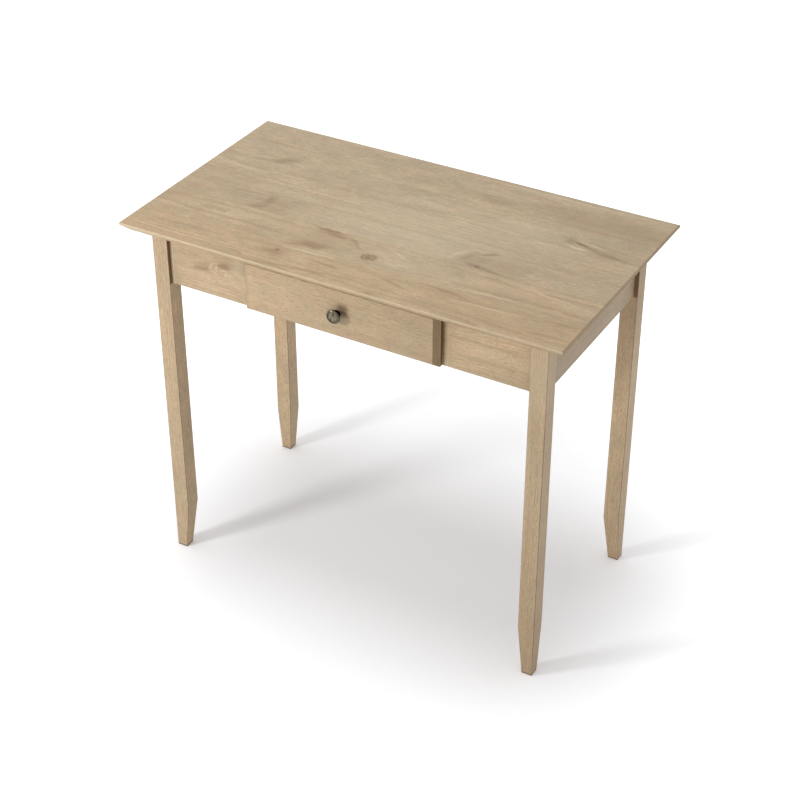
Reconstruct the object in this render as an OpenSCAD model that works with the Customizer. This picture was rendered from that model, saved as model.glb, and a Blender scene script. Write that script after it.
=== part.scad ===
// Writing desk in stained pine: a bevelled top on four tapered legs, aprons set back from
// the legs and one drawer with a bevelled front and a round metal knob.
// The origin is on the floor under the middle of the desk. X runs along the width, the
// front faces -Y and +Z is up. Left and right are as seen from the front.

/* [Desk] */
// Width of the top, end to end
desk_w = 900; // [800:5:1200]
// Depth of the top, front to back
desk_d = 500; // [460:5:640]
// Height from the floor to the top's upper face
desk_h = 760; // [680:5:820]

/* [Top] */
// Thickness of the top
top_t = 18; // [16:0.5:26]
// Height of the square edge left above the undercut bevel
top_land = 4; // [2:0.5:9]
// How far the undercut bevel runs in under the edge
top_bevel = 15; // [4:0.5:25]
// Width of the first board, at the front edge
board_1_w = 86; // [60:1:100]
// Width of the second board
board_2_w = 85; // [60:1:100]
// Width of the third board
board_3_w = 65; // [50:1:80]
// Width of the fourth board
board_4_w = 84; // [60:1:100]
// Width of the fifth board; the sixth takes the rest of the depth
board_5_w = 69; // [50:1:80]

/* [Legs] */
// Width of the square leg above its taper
leg_w = 33.5; // [30:0.5:44]
// Width of the foot, where the two inner faces end
foot_w = 21.5; // [16:0.5:28]
// Height of the knee, where the taper starts
taper_h = 108; // [50:1:300]
// Overhang of the top past the legs at each end
overhang_side = 43; // [20:1:90]
// Overhang of the top past the legs at the front and the back
overhang_front = 40; // [30:1:70]

/* [Aprons] */
// Height of the aprons
apron_h = 112; // [104:1:150]
// Thickness of the aprons
apron_t = 18; // [14:0.5:21]
// How far the aprons sit behind the legs' outer faces
apron_inset = 8; // [3:0.5:11]
// Wood left under the drawer's window in the front apron
window_lower = 14; // [8:1:18]
// Wood left above the drawer's window
window_upper = 12; // [6:1:16]

/* [Drawer front] */
// Width of the drawer front
front_w = 403; // [300:1:560]
// Thickness of the drawer front
front_t = 20; // [16:0.5:26]
// Gap between the drawer front and the top
front_gap = 1.5; // [0.5:0.5:4]
// Width of the bevel round the face
bevel_w = 9; // [3:0.5:16]
// Depth of the bevel, from the face back
bevel_depth = 12; // [3:0.5:14]
// How far the front laps over each side of the window
front_lap = 15.5; // [8:0.5:24]

/* [Drawer box] */
// Thickness of the box's sides, front and back
side_t = 12; // [10:0.5:16]
// Thickness of the bottom panel
bottom_t = 4; // [3:0.5:6]
// Depth of the groove that holds the bottom panel
groove_d = 5; // [3:0.5:7]
// Wood left under the groove
groove_up = 8; // [5:0.5:14]
// Height of the box above the window's lower edge
box_lift = 6; // [3:0.5:9]
// Space above the box inside the window
box_head_gap = 8; // [3:0.5:14]
// Space between the box and the back apron
box_back_gap = 36; // [20:1:90]

/* [Drawer slides] */
// Space between the box and each guide rail
slide_gap = 12.7; // [12:0.1:16]
// Thickness of the tracks' steel
steel_t = 1.2; // [0.8:0.1:1.6]
// Radius of the rollers
roller_r = 10; // [7:0.5:12]
// Width of the rollers
roller_w = 6; // [4:0.5:6.5]
// Radius of the roller pins
pin_r = 2.5; // [1.5:0.25:3]
// Width of the lip that carries the box's sides
track_lip = 10; // [5:0.5:10]
// Thickness of the guide rails
rail_t = 18; // [15:0.5:24]

/* [Corner joints] */
// Thickness of the corner blocks across the bolt
block_t = 25; // [18:0.5:34]
// Thickness of the blocks' wings, which lie on the aprons
wing_t = 14; // [10:0.5:18]
// Length of each wing past the block
wing_l = 18; // [14:0.5:26]
// How far the blocks end above the aprons' lower edges
block_lift = 20; // [8:1:30]
// Radius of the hanger bolts
bolt_r = 3; // [2.5:0.25:4]
// Length of the bolt inside the leg
bolt_embed = 30; // [18:1:34]
// Height between the two bolts of a leg
bolt_spread = 42; // [24:1:50]

/* [Knob] */
// Radius of the knob's head
knob_r = 14; // [11:0.5:18]
// Distance from the drawer front to the middle of the knob's face
knob_out = 16; // [14:0.5:32]
// Radius of the knob's neck
knob_neck_r = 4.6; // [3.5:0.1:6]

/* [Screws] */
// Radius of a wood screw's shank
screw_r = 1.9; // [1.5:0.1:2.2]
// Radius of a wood screw's head
screw_head_r = 3.7; // [3:0.1:4.2]
// Radius of a track screw's shank
small_screw_r = 1.5; // [1.2:0.1:1.9]
// Radius of the knob's machine screw
knob_screw_r = 1.95; // [1.5:0.05:2.3]

/* [Hidden] */

$fn = 48;

// Colours of the materials
stain = [0.76, 0.67, 0.55];
stain_dark = [0.56, 0.47, 0.36];
raw_pine = [0.87, 0.75, 0.56];
plywood = [0.82, 0.70, 0.52];
zinc = [0.72, 0.73, 0.74];
coated = [0.90, 0.89, 0.85];
nylon = [0.95, 0.95, 0.93];
pewter = [0.36, 0.35, 0.32];

// Clearances: shaft in bore, space past a screw's tip, running gap of the slides, space over
// the bottom panel and play round its edges
fit_gap = 0.05;
blind_gap = 0.5;
run_gap = 0.3;
panel_gap = 0.2;
edge_play = 0.8;

// How far a cutting shape reaches past the face that it cuts
cut = 1;

// Main levels and places
under_z = desk_h - top_t;
leg_x = desk_w / 2 - overhang_side;
leg_y = desk_d / 2 - overhang_front;
apron_z = under_z - apron_h;
apron_x = leg_x - apron_inset;
apron_y = leg_y - apron_inset;
inner_x = apron_x - apron_t;
inner_y = apron_y - apron_t;
leg_len = under_z;

// Seams of the top, from the front edge to the back edge
seams = [
  0,
  board_1_w,
  board_1_w + board_2_w,
  board_1_w + board_2_w + board_3_w,
  board_1_w + board_2_w + board_3_w + board_4_w,
  board_1_w + board_2_w + board_3_w + board_4_w + board_5_w,
  desk_d];

// Corner joints, measured from the aprons' inner faces. Along the diagonal come the
// leg's inner corner, the block's near face and its far face.
leg_proud = leg_w - apron_inset - apron_t;
block_clear = 2;
diag_leg = leg_proud * sqrt(2);
diag_near = diag_leg + block_clear;
diag_far = diag_near + block_t;
near_uv = diag_near * sqrt(2);
wing_start = diag_far * sqrt(2) - wing_t;
wing_end = wing_start + wing_l;
block_h = apron_h - block_lift;
block_mid_z = under_z - block_h / 2;
washer_r = bolt_r * 3;
washer_t = 1.6;
nut_r = bolt_r * 1.9;
nut_h = 5;
bolt_tail = 2.5;
bolt_play = 0.3;
screw_in_apron = apron_t * 0.75;
block_screw_x = (wing_start + wing_end) / 2;
block_screw_spread = block_h * 0.6;
top_screw_in = top_t * 0.65;
top_screw_grip = 20;
top_screw_side = 11.5;
counterbore_r = screw_head_r + 1;

// Screw heads, tips and recesses
pan_head_h = 2;
pan_head_taper = 0.8;
screw_tip = 0.25;
recess_depth = 1;
recess_w = 0.9;
recess_reach = 0.55;

// Drawer
front_z0 = apron_z;
front_z1 = under_z - front_gap;
front_mid_z = (front_z0 + front_z1) / 2;
window_half = front_w / 2 - front_lap;
window_z0 = apron_z + window_lower;
window_z1 = under_z - window_upper;
box_half = window_half - slide_gap;
box_inner = box_half - side_t;
box_z = window_z0 + box_lift;
box_h = window_z1 - box_head_gap - box_z;
box_y0 = -apron_y;
box_y1 = inner_y - box_back_gap;
panel_z = box_z + groove_up;

// Slides: a frame track's lips stop short of the drawer track, and its flange stops short
// of the frame track
lip_clear = 1;
flange_clear = 1.5;
channel_z = box_z;
roller_z = channel_z + steel_t + run_gap + roller_r;
flange_z = roller_z + roller_r + run_gap;
channel_h = flange_z + 2 * steel_t + run_gap - channel_z;
channel_lip = slide_gap - 2 * steel_t - lip_clear;
flange_out = slide_gap - 2 * steel_t - flange_clear;
track_set_back = 2;
roller_to_end = 4;
frame_track_y0 = box_y0 + track_set_back;
frame_track_y1 = box_y1 + track_set_back;
drawer_track_y0 = box_y0 + track_set_back / 2;
drawer_track_y1 = box_y1;
frame_roller_y = frame_track_y0 + roller_r + roller_to_end;
drawer_roller_y = drawer_track_y1 - roller_r - roller_to_end;
roller_edge = 0.5;
collar_t = 0.4;
roller_play = 0.2;
pin_head_t = 0.8;
pin_head_r = pin_r + 1.5;
small_head_r = small_screw_r * 2;
small_head_t = 1.2;
screw_to_roller = 45;
screw_to_end = 25;
frame_screw_y = [
  frame_roller_y + screw_to_roller,
  (frame_track_y0 + frame_track_y1) / 2,
  frame_track_y1 - screw_to_end];
drawer_screw_y = [
  drawer_track_y0 + screw_to_end,
  (drawer_track_y0 + drawer_track_y1) / 2,
  drawer_roller_y - screw_to_roller];
frame_screw_in = rail_t * 0.7;
drawer_screw_in = side_t - groove_d - 1;

// Guide rails
rail_z = window_z0;
rail_screw_x = window_half + rail_t / 2;
rail_screw_edge = 14;
rail_screw_z = [channel_z + channel_h + rail_screw_edge, under_z - rail_screw_edge];
rail_screw_in = 30;
rail_screw_l = apron_t + rail_screw_in;

// Screws through the box into the drawer front
front_screw_x = box_inner * 0.8;
front_screw_z = [box_z + box_h * 0.25, box_z + box_h * 0.75];
front_screw_in = front_t * 0.6;

// The knob is turned: a foot on the wood, a neck, a flared head with a bead round its face.
// Each point of its outline is a radius and a distance out of the drawer front.
function arc(cx, cz, rx, rz, a0, a1, n) =
  [for (i = [0:n]) [cx + rx * cos(a0 + (a1 - a0) * i / n), cz + rz * sin(a0 + (a1 - a0) * i / n)]];

knob_hole_depth = 9;
knob_thread_in = 7.5;
knob_foot_r = knob_neck_r + 2.6;
knob_foot_round = 0.8;
knob_fillet = 1.2;
knob_fillet_z = 3;
knob_head_t = 5;
knob_under = knob_out - knob_head_t;
knob_flare_from = knob_under * 0.55;
knob_edge_r = 1.2;
knob_edge_h = 1.8;
knob_edge_z = knob_under + 2.2;
knob_rim = 1.4;
knob_bead = 1.1;
knob_face_r = knob_r - knob_rim - 2 * knob_bead;
knob_dome = knob_bead + 0.2;
knob_outline = concat(
  [[0, 0], [knob_foot_r, 0]],
  arc(knob_foot_r - knob_foot_round, knob_foot_round, knob_foot_round, knob_foot_round, 0, 90, 3),
  arc(knob_neck_r + knob_fillet, knob_fillet_z, knob_fillet, knob_fillet, -120, -180, 4),
  arc(knob_r, knob_flare_from, knob_r - knob_neck_r, knob_under - knob_flare_from, 180, 98, 8),
  arc(knob_r - knob_edge_r, knob_edge_z, knob_edge_r, knob_edge_h, -60, 60, 6),
  arc(knob_face_r + knob_bead, knob_out - knob_dome, knob_bead, knob_bead, 20, 180, 6),
  arc(0, knob_out - knob_dome, knob_face_r, knob_dome, 15, 90, 5));

// Places the children in the mirrored half or quarter of the desk
module side(right) {
  if (right) children();
  else mirror([1, 0, 0]) children();
}

module quarter(right, back) {
  side(right) {
    if (back) children();
    else mirror([0, 1, 0]) children();
  }
}

module all_quarters() {
  for (right = [false, true], back = [false, true])
    quarter(right, back) children();
}

// In a quarter, turns to the diagonal that runs from the aprons' inner corner to the leg.
// The children's +X points away from the leg.
module diagonal(z) {
  translate([inner_x, inner_y, z]) rotate([0, 0, 225]) rotate([0, 90, 0]) children();
}

// A plate extruded along Y from its outline in X and Z, and one along X from Y and Z
module along_y(y0, y1) {
  translate([0, y1, 0]) rotate([90, 0, 0]) linear_extrude(y1 - y0) children();
}

module along_x(x0, x1) {
  translate([x0, 0, 0]) rotate([90, 0, 90]) linear_extrude(x1 - x0) children();
}

module box(x0, x1, y0, y1, z0, z1) {
  translate([x0, y0, z0]) cube([x1 - x0, y1 - y0, z1 - z0]);
}

// Screws point along +Z and their heads' seats lie at the origin
module cross_recess(head_r) {
  reach = head_r * recess_reach;
  translate([-reach, -recess_w / 2, -cut]) cube([2 * reach, recess_w, recess_depth + cut]);
  translate([-recess_w / 2, -reach, -cut]) cube([recess_w, 2 * reach, recess_depth + cut]);
}

module shank(r, length) {
  cylinder(r = r, h = length - r);
  translate([0, 0, length - r]) cylinder(r1 = r, r2 = r * screw_tip, h = r);
}

module pan_screw(r, head_r, head_h, length) {
  difference() {
    union() {
      shank(r, length);
      translate([0, 0, -head_h]) cylinder(r1 = head_r * pan_head_taper, r2 = head_r, h = head_h);
    }
    translate([0, 0, -head_h]) cross_recess(head_r);
  }
}

module flat_screw(r, head_r, length) {
  difference() {
    union() {
      shank(r, length);
      cylinder(r1 = head_r, r2 = r, h = head_r - r);
    }
    cross_recess(head_r);
  }
}

module screw_hole(r, length) {
  translate([0, 0, -cut]) cylinder(r = r + fit_gap, h = length + blind_gap + cut);
}

module flat_hole(r, head_r, length) {
  screw_hole(r, length);
  cylinder(r1 = head_r + fit_gap, r2 = r + fit_gap, h = head_r - r);
  translate([0, 0, -cut]) cylinder(r = head_r + fit_gap, h = cut);
}

// Places of the fasteners, in one quarter or one side of the desk
module at_bolts() {
  for (z = [block_mid_z - bolt_spread / 2, block_mid_z + bolt_spread / 2])
    diagonal(z) children();
}

module at_block_screws() {
  for (z = [block_mid_z - block_screw_spread / 2, block_mid_z + block_screw_spread / 2]) {
    translate([inner_x - block_screw_x, inner_y - wing_t, z]) rotate([-90, 0, 0]) children();
    translate([inner_x - wing_t, inner_y - block_screw_x, z]) rotate([0, 90, 0]) children();
  }
}

module at_top_screws() {
  for (shift = [-top_screw_side, top_screw_side])
    translate([inner_x, inner_y, under_z - top_screw_grip]) rotate([0, 0, 225])
      translate([(diag_near + diag_far) / 2, shift, 0]) children();
}

module at_rail_screws(back) {
  for (z = rail_screw_z)
    translate([rail_screw_x, back ? apron_y : -apron_y, z])
      rotate([back ? 90 : -90, 0, 0]) children();
}

module at_frame_screws() {
  for (y = frame_screw_y)
    translate([window_half - steel_t, y, roller_z]) rotate([0, 90, 0]) children();
}

module at_drawer_screws() {
  for (y = drawer_screw_y)
    translate([box_half + steel_t, y, roller_z]) rotate([0, -90, 0]) children();
}

module at_front_screws() {
  for (x = [-front_screw_x, front_screw_x], z = front_screw_z)
    translate([x, box_y0 + side_t, z]) rotate([90, 0, 0]) children();
}

// The whole top, with its undercut bevel and the pilot holes of its screws
module whole_top() {
  difference() {
    intersection() {
      along_y(-desk_d / 2, desk_d / 2) top_outline(desk_w / 2);
      along_x(-desk_w / 2, desk_w / 2) top_outline(desk_d / 2);
    }
    all_quarters() at_top_screws() screw_hole(screw_r, top_screw_grip + top_screw_in);
  }
}

module top_outline(half) {
  polygon([
    [-half, desk_h], [-half, desk_h - top_land], [-half + top_bevel, under_z],
    [half - top_bevel, under_z], [half, desk_h - top_land], [half, desk_h]]);
}

module top_board(n) {
  color(stain) intersection() {
    whole_top();
    box(-desk_w, desk_w, -desk_d / 2 + seams[n - 1], -desk_d / 2 + seams[n], 0, desk_h + cut);
  }
}

// A leg is square down to its knee. Below, its two inner faces slope in to the foot.
module leg_outline(out) {
  polygon([
    [out, 0], [out, leg_len], [out - leg_w, leg_len], [out - leg_w, taper_h], [out - foot_w, 0]]);
}

module leg(right, back) {
  color(stain) quarter(right, back) difference() {
    intersection() {
      along_y(leg_y - leg_w, leg_y) leg_outline(leg_x);
      along_x(leg_x - leg_w, leg_x) leg_outline(leg_y);
    }
    at_bolts() translate([0, 0, diag_leg - bolt_embed - blind_gap])
      cylinder(r = bolt_r + fit_gap, h = bolt_embed + blind_gap + cut);
  }
}

module long_apron(back) {
  difference() {
    box(-leg_x + leg_w, leg_x - leg_w, back ? inner_y : -apron_y, back ? apron_y : -inner_y,
        apron_z, under_z);
    for (right = [false, true]) {
      quarter(right, back) at_block_screws() screw_hole(screw_r, wing_t + screw_in_apron);
      side(right) at_rail_screws(back) flat_hole(screw_r, screw_head_r, rail_screw_l);
    }
  }
}

module front_apron() {
  color(stain) difference() {
    long_apron(false);
    box(-window_half, window_half, -apron_y - cut, -inner_y + cut, window_z0, window_z1);
  }
}

module back_apron() {
  color(stain) long_apron(true);
}

module side_apron(right) {
  color(stain) side(right) difference() {
    box(inner_x, apron_x, -leg_y + leg_w, leg_y - leg_w, apron_z, under_z);
    for (back = [false, true])
      quarter(true, back) at_block_screws() screw_hole(screw_r, wing_t + screw_in_apron);
  }
}

// Outline of a corner block in plan, from the aprons' inner corner
module block_outline() {
  polygon([
    [near_uv, 0], [wing_end, 0], [wing_end, wing_t], [wing_start, wing_t],
    [wing_t, wing_start], [wing_t, wing_end], [0, wing_end], [0, near_uv]]);
}

module corner_block(right, back) {
  color(raw_pine) quarter(right, back) difference() {
    translate([inner_x, inner_y, under_z - block_h]) rotate([0, 0, 180])
      linear_extrude(block_h) block_outline();
    at_bolts() cylinder(r = bolt_r + bolt_play, h = diag_far + cut);
    at_block_screws() screw_hole(screw_r, wing_t + screw_in_apron);
    at_top_screws() screw_hole(screw_r, top_screw_grip + cut);
    at_top_screws() mirror([0, 0, 1]) cylinder(r = counterbore_r, h = block_h);
  }
}

module leg_bolts() {
  color(zinc) all_quarters() at_bolts() translate([0, 0, diag_leg - bolt_embed])
    cylinder(r = bolt_r, h = diag_far + washer_t + nut_h + bolt_tail - diag_leg + bolt_embed);
}

module leg_washers() {
  color(zinc) all_quarters() at_bolts() translate([0, 0, diag_far]) difference() {
    cylinder(r = washer_r, h = washer_t);
    translate([0, 0, -cut]) cylinder(r = bolt_r + bolt_play, h = washer_t + 2 * cut);
  }
}

module leg_nuts() {
  color(zinc) all_quarters() at_bolts() translate([0, 0, diag_far + washer_t]) difference() {
    cylinder(r = nut_r, h = nut_h, $fn = 6);
    translate([0, 0, -cut]) cylinder(r = bolt_r + fit_gap, h = nut_h + 2 * cut);
  }
}

module block_screws() {
  color(zinc) all_quarters() at_block_screws()
    pan_screw(screw_r, screw_head_r, pan_head_h, wing_t + screw_in_apron);
}

module top_screws() {
  color(zinc) all_quarters() at_top_screws()
    pan_screw(screw_r, screw_head_r, pan_head_h, top_screw_grip + top_screw_in);
}

// A guide rail joins the front apron to the back one beside the window
module guide_rail(right) {
  color(raw_pine) side(right) difference() {
    box(window_half, window_half + rail_t, -inner_y, inner_y, rail_z, under_z);
    for (back = [false, true])
      at_rail_screws(back) screw_hole(screw_r, rail_screw_l);
    at_frame_screws() screw_hole(small_screw_r, steel_t + frame_screw_in);
  }
}

module rail_screws() {
  color(zinc) for (right = [false, true], back = [false, true])
    side(right) at_rail_screws(back) flat_screw(screw_r, screw_head_r, rail_screw_l);
}

// The frame's track is a channel that opens towards the drawer
module frame_track(right) {
  color(coated) side(right) difference() {
    along_y(frame_track_y0, frame_track_y1) difference() {
      translate([window_half - steel_t - channel_lip, channel_z])
        square([steel_t + channel_lip, channel_h]);
      translate([window_half - steel_t - channel_lip - cut, channel_z + steel_t])
        square([channel_lip + cut, channel_h - 2 * steel_t]);
    }
    at_frame_screws() screw_hole(small_screw_r, steel_t);
  }
}

module frame_track_screws() {
  color(zinc) for (right = [false, true])
    side(right) at_frame_screws()
      pan_screw(small_screw_r, small_head_r, small_head_t, steel_t + frame_screw_in);
}

// The drawer's track carries the box on its lip and runs on the frame's roller
module drawer_track(right) {
  color(coated) side(right) difference() {
    along_y(drawer_track_y0, drawer_track_y1) polygon([
      [box_half - track_lip, box_z - steel_t],
      [box_half + steel_t, box_z - steel_t],
      [box_half + steel_t, flange_z],
      [box_half + steel_t + flange_out, flange_z],
      [box_half + steel_t + flange_out, flange_z + steel_t],
      [box_half, flange_z + steel_t],
      [box_half, box_z],
      [box_half - track_lip, box_z]]);
    at_drawer_screws() screw_hole(small_screw_r, steel_t);
  }
}

module drawer_track_screws() {
  color(zinc) for (right = [false, true])
    side(right) at_drawer_screws()
      pan_screw(small_screw_r, small_head_r, small_head_t, steel_t + drawer_screw_in);
}

// A roller and its pin point along +Z, away from the track that carries them
module roller() {
  translate([0, 0, collar_t + roller_play]) difference() {
    union() {
      cylinder(r = roller_r - roller_edge, h = roller_w);
      translate([0, 0, roller_edge]) cylinder(r = roller_r, h = roller_w - 2 * roller_edge);
    }
    translate([0, 0, -cut]) cylinder(r = pin_r + fit_gap, h = roller_w + 2 * cut);
  }
}

module roller_pin() {
  cylinder(r = pin_head_r, h = collar_t);
  cylinder(r = pin_r, h = collar_t + 2 * roller_play + roller_w + pin_head_t);
  translate([0, 0, collar_t + 2 * roller_play + roller_w]) cylinder(r = pin_head_r, h = pin_head_t);
}

module at_frame_roller() {
  translate([window_half - steel_t, frame_roller_y, roller_z]) rotate([0, -90, 0]) children();
}

module at_drawer_roller() {
  translate([box_half + steel_t, drawer_roller_y, roller_z]) rotate([0, 90, 0]) children();
}

module frame_roller(right) {
  color(nylon) side(right) at_frame_roller() roller();
}

module frame_roller_pins() {
  color(zinc) for (right = [false, true]) side(right) at_frame_roller() roller_pin();
}

module drawer_roller(right) {
  color(nylon) side(right) at_drawer_roller() roller();
}

module drawer_roller_pins() {
  color(zinc) for (right = [false, true]) side(right) at_drawer_roller() roller_pin();
}

// The drawer front: a board whose face is framed by a mitred bevel on all four edges
module drawer_front() {
  face_y = -apron_y - front_t;
  color(stain) difference() {
    intersection() {
      translate([0, 0, front_z0]) linear_extrude(front_z1 - front_z0) polygon([
        [-front_w / 2, -apron_y], [-front_w / 2, face_y + bevel_depth],
        [-front_w / 2 + bevel_w, face_y], [front_w / 2 - bevel_w, face_y],
        [front_w / 2, face_y + bevel_depth], [front_w / 2, -apron_y]]);
      along_x(-front_w / 2, front_w / 2) polygon([
        [-apron_y, front_z0], [face_y + bevel_depth, front_z0], [face_y, front_z0 + bevel_w],
        [face_y, front_z1 - bevel_w], [face_y + bevel_depth, front_z1], [-apron_y, front_z1]]);
    }
    at_front_screws() screw_hole(screw_r, side_t + front_screw_in);
    at_knob_screw() screw_hole(knob_screw_r, side_t + front_t);
  }
}

module at_knob_screw() {
  translate([0, box_y0 + side_t, front_mid_z]) rotate([90, 0, 0]) children();
}

// The box is grooved all round for its bottom panel
module panel(play) {
  box(-box_inner - groove_d + play, box_inner + groove_d - play,
      box_y0 + side_t - groove_d + play, box_y1 - side_t + groove_d - play,
      panel_z, panel_z + bottom_t + (play > 0 ? 0 : panel_gap));
}

module box_side(right) {
  color(raw_pine) side(right) difference() {
    box(box_inner, box_half, box_y0, box_y1, box_z, box_z + box_h);
    panel(0);
    at_drawer_screws() screw_hole(small_screw_r, steel_t + drawer_screw_in);
  }
}

module box_front() {
  color(raw_pine) difference() {
    box(-box_inner, box_inner, box_y0, box_y0 + side_t, box_z, box_z + box_h);
    panel(0);
    at_front_screws() screw_hole(screw_r, side_t + cut);
    at_knob_screw() screw_hole(knob_screw_r, side_t + cut);
  }
}

module box_back() {
  color(raw_pine) difference() {
    box(-box_inner, box_inner, box_y1 - side_t, box_y1, box_z, box_z + box_h);
    panel(0);
  }
}

module box_bottom() {
  color(plywood) panel(edge_play);
}

module front_screws() {
  color(zinc) at_front_screws()
    pan_screw(screw_r, screw_head_r, pan_head_h, side_t + front_screw_in);
}

module knob_screw() {
  color(zinc) at_knob_screw()
    pan_screw(knob_screw_r, screw_head_r, pan_head_h, side_t + front_t + knob_thread_in);
}

module knob() {
  color(pewter) translate([0, -apron_y - front_t, front_mid_z]) rotate([90, 0, 0]) difference() {
    rotate_extrude($fn = 72) polygon(knob_outline);
    translate([0, 0, -cut]) cylinder(r = knob_screw_r + fit_gap, h = knob_hole_depth + cut);
  }
}

top_board(1);  // top_board_1
top_board(2);  // top_board_2
top_board(3);  // top_board_3
top_board(4);  // top_board_4
top_board(5);  // top_board_5
top_board(6);  // top_board_6
leg(false, false);  // leg_front_left
leg(true, false);  // leg_front_right
leg(false, true);  // leg_back_left
leg(true, true);  // leg_back_right
front_apron();
back_apron();
side_apron(false);  // side_apron_left
side_apron(true);  // side_apron_right
corner_block(false, false);  // corner_block_front_left
corner_block(true, false);  // corner_block_front_right
corner_block(false, true);  // corner_block_back_left
corner_block(true, true);  // corner_block_back_right
leg_bolts();
leg_washers();
leg_nuts();
block_screws();
top_screws();
guide_rail(false);  // guide_rail_left
guide_rail(true);  // guide_rail_right
rail_screws();
frame_track(false);  // frame_track_left
frame_track(true);  // frame_track_right
frame_track_screws();
frame_roller_pins();
frame_roller(false);  // frame_roller_left
frame_roller(true);  // frame_roller_right
drawer_front();
box_front();
box_side(false);  // box_side_left
box_side(true);  // box_side_right
box_back();
box_bottom();
drawer_track(false);  // drawer_track_left
drawer_track(true);  // drawer_track_right
drawer_track_screws();
drawer_roller_pins();
drawer_roller(false);  // drawer_roller_left
drawer_roller(true);  // drawer_roller_right
front_screws();
knob();
knob_screw();
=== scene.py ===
# %% [markdown]
# # A small writing desk in stained pine
# The desk comes from the CAD model as a fixed frame: every board, leg, screw and track is
# already there at its real size. This script gives it its looks. The boards get eased arrises,
# the knob gets its turned face, and every piece gets a material worked out from what the real
# one is made of.

# %% Load the desk
import math

import bmesh
import bpy
import numpy as np
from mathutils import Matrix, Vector


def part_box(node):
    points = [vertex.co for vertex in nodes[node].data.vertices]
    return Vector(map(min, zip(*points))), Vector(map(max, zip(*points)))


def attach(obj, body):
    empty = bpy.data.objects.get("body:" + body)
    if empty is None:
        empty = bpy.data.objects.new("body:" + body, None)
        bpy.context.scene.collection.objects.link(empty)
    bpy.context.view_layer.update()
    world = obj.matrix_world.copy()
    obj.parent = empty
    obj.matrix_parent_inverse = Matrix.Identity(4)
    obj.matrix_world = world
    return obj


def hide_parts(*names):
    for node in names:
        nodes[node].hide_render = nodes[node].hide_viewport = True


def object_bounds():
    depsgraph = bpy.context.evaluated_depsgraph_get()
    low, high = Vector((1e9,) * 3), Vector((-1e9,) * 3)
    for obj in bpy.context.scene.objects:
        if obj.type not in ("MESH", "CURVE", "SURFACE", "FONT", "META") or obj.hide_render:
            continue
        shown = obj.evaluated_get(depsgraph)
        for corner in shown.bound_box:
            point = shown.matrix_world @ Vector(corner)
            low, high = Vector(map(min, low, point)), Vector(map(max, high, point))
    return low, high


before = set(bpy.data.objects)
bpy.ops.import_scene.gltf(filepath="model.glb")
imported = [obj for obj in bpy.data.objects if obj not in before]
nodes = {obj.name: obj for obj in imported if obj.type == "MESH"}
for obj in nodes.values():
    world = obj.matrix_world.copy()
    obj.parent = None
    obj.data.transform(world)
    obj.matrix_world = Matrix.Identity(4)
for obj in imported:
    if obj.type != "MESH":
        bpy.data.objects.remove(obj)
cad_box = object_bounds()
MM = 0.001
print("nodes:", len(nodes), "box in mm:", [[round(c / MM, 1) for c in p] for p in cad_box])

# %% [markdown]
# ## Camera
# The photograph looks down on the desk from its right front with a long lens. The place and
# turn below were solved from the desk's own corners, so the render and the photograph line up.
# The shift is about two pixels: the photograph was cropped slightly off its optical axis.

# %% Camera
CAMERA_PLACE = (1.4463, -2.5418, 2.3416)
CAMERA_TILT = math.radians(55.95)
CAMERA_TURN = math.radians(29.59)
LENS_MM = 81.33
SENSOR_MM = 36.0
SHIFT = (-0.0006, 0.0030)

camera_data = bpy.data.cameras.new("camera")
camera_data.lens = LENS_MM
camera_data.sensor_width = SENSOR_MM
camera_data.shift_x, camera_data.shift_y = SHIFT
camera_data.clip_end = 50.0
camera = bpy.data.objects.new("camera", camera_data)
camera.location = CAMERA_PLACE
camera.rotation_euler = (CAMERA_TILT, 0.0, CAMERA_TURN)
scene = bpy.context.scene
scene.collection.objects.link(camera)
scene.camera = camera
print("camera is", round((camera.location - (cad_box[0] + cad_box[1]) / 2).length, 2), "m away")

# %% [markdown]
# ## Adding nodes
# A material is a small graph. One function adds any node: it sets the node's own settings,
# then links or fills its inputs. Colours are written as sRGB hex, the way a paint chart or an
# image editor gives them, and turned to linear light before they reach a shader.

# %% Node and colour helpers
def add(tree, kind, inputs=None, stops=(), **settings):
    """Adds a shader node. inputs maps an input's name or number to a socket or a value, and
    stops are a ramp's (position, grey value) pairs, smoothly joined."""
    node = tree.nodes.new("ShaderNode" + kind)
    for key, value in settings.items():
        setattr(node, key, value)
    for key, value in (inputs or {}).items():
        if isinstance(value, bpy.types.NodeSocket):
            tree.links.new(value, node.inputs[key])
        else:
            node.inputs[key].default_value = value
    if stops:
        node.color_ramp.interpolation = "EASE"
        elements = node.color_ramp.elements
        while len(elements) < len(stops):
            elements.new(0.5)
        for element, (position, value) in zip(elements, stops):
            element.position = position
            element.color = (value, value, value, 1)
    return node


def linear(hex_colour):
    """sRGB hex to linear RGBA: each channel is divided by 12.92 below 0.04045, and otherwise
    raised as ((c + 0.055) / 1.055) ** 2.4."""
    channels = [int(hex_colour[i:i + 2], 16) / 255 for i in (1, 3, 5)]
    out = [c / 12.92 if c <= 0.04045 else ((c + 0.055) / 1.055) ** 2.4 for c in channels]
    return (*out, 1.0)


def new_material(name):
    """An empty material, and its tree to fill."""
    material = bpy.data.materials.new(name)
    material.use_nodes = True
    material.node_tree.nodes.clear()
    return material, material.node_tree


WHITE = linear("#ffffff")
print("white is", WHITE)

# %% [markdown]
# ## Short ways to the common nodes
# A few kinds of node come up again and again: sums, ranges, mixed colours, noise and the shader
# at the end. Each gets a short function, so that a material reads as a recipe.

# %% Common nodes
def calc(tree, operation, *values, **settings):
    """A sum on numbers."""
    return add(tree, "Math", dict(enumerate(values)), operation=operation, **settings).outputs[0]


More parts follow.
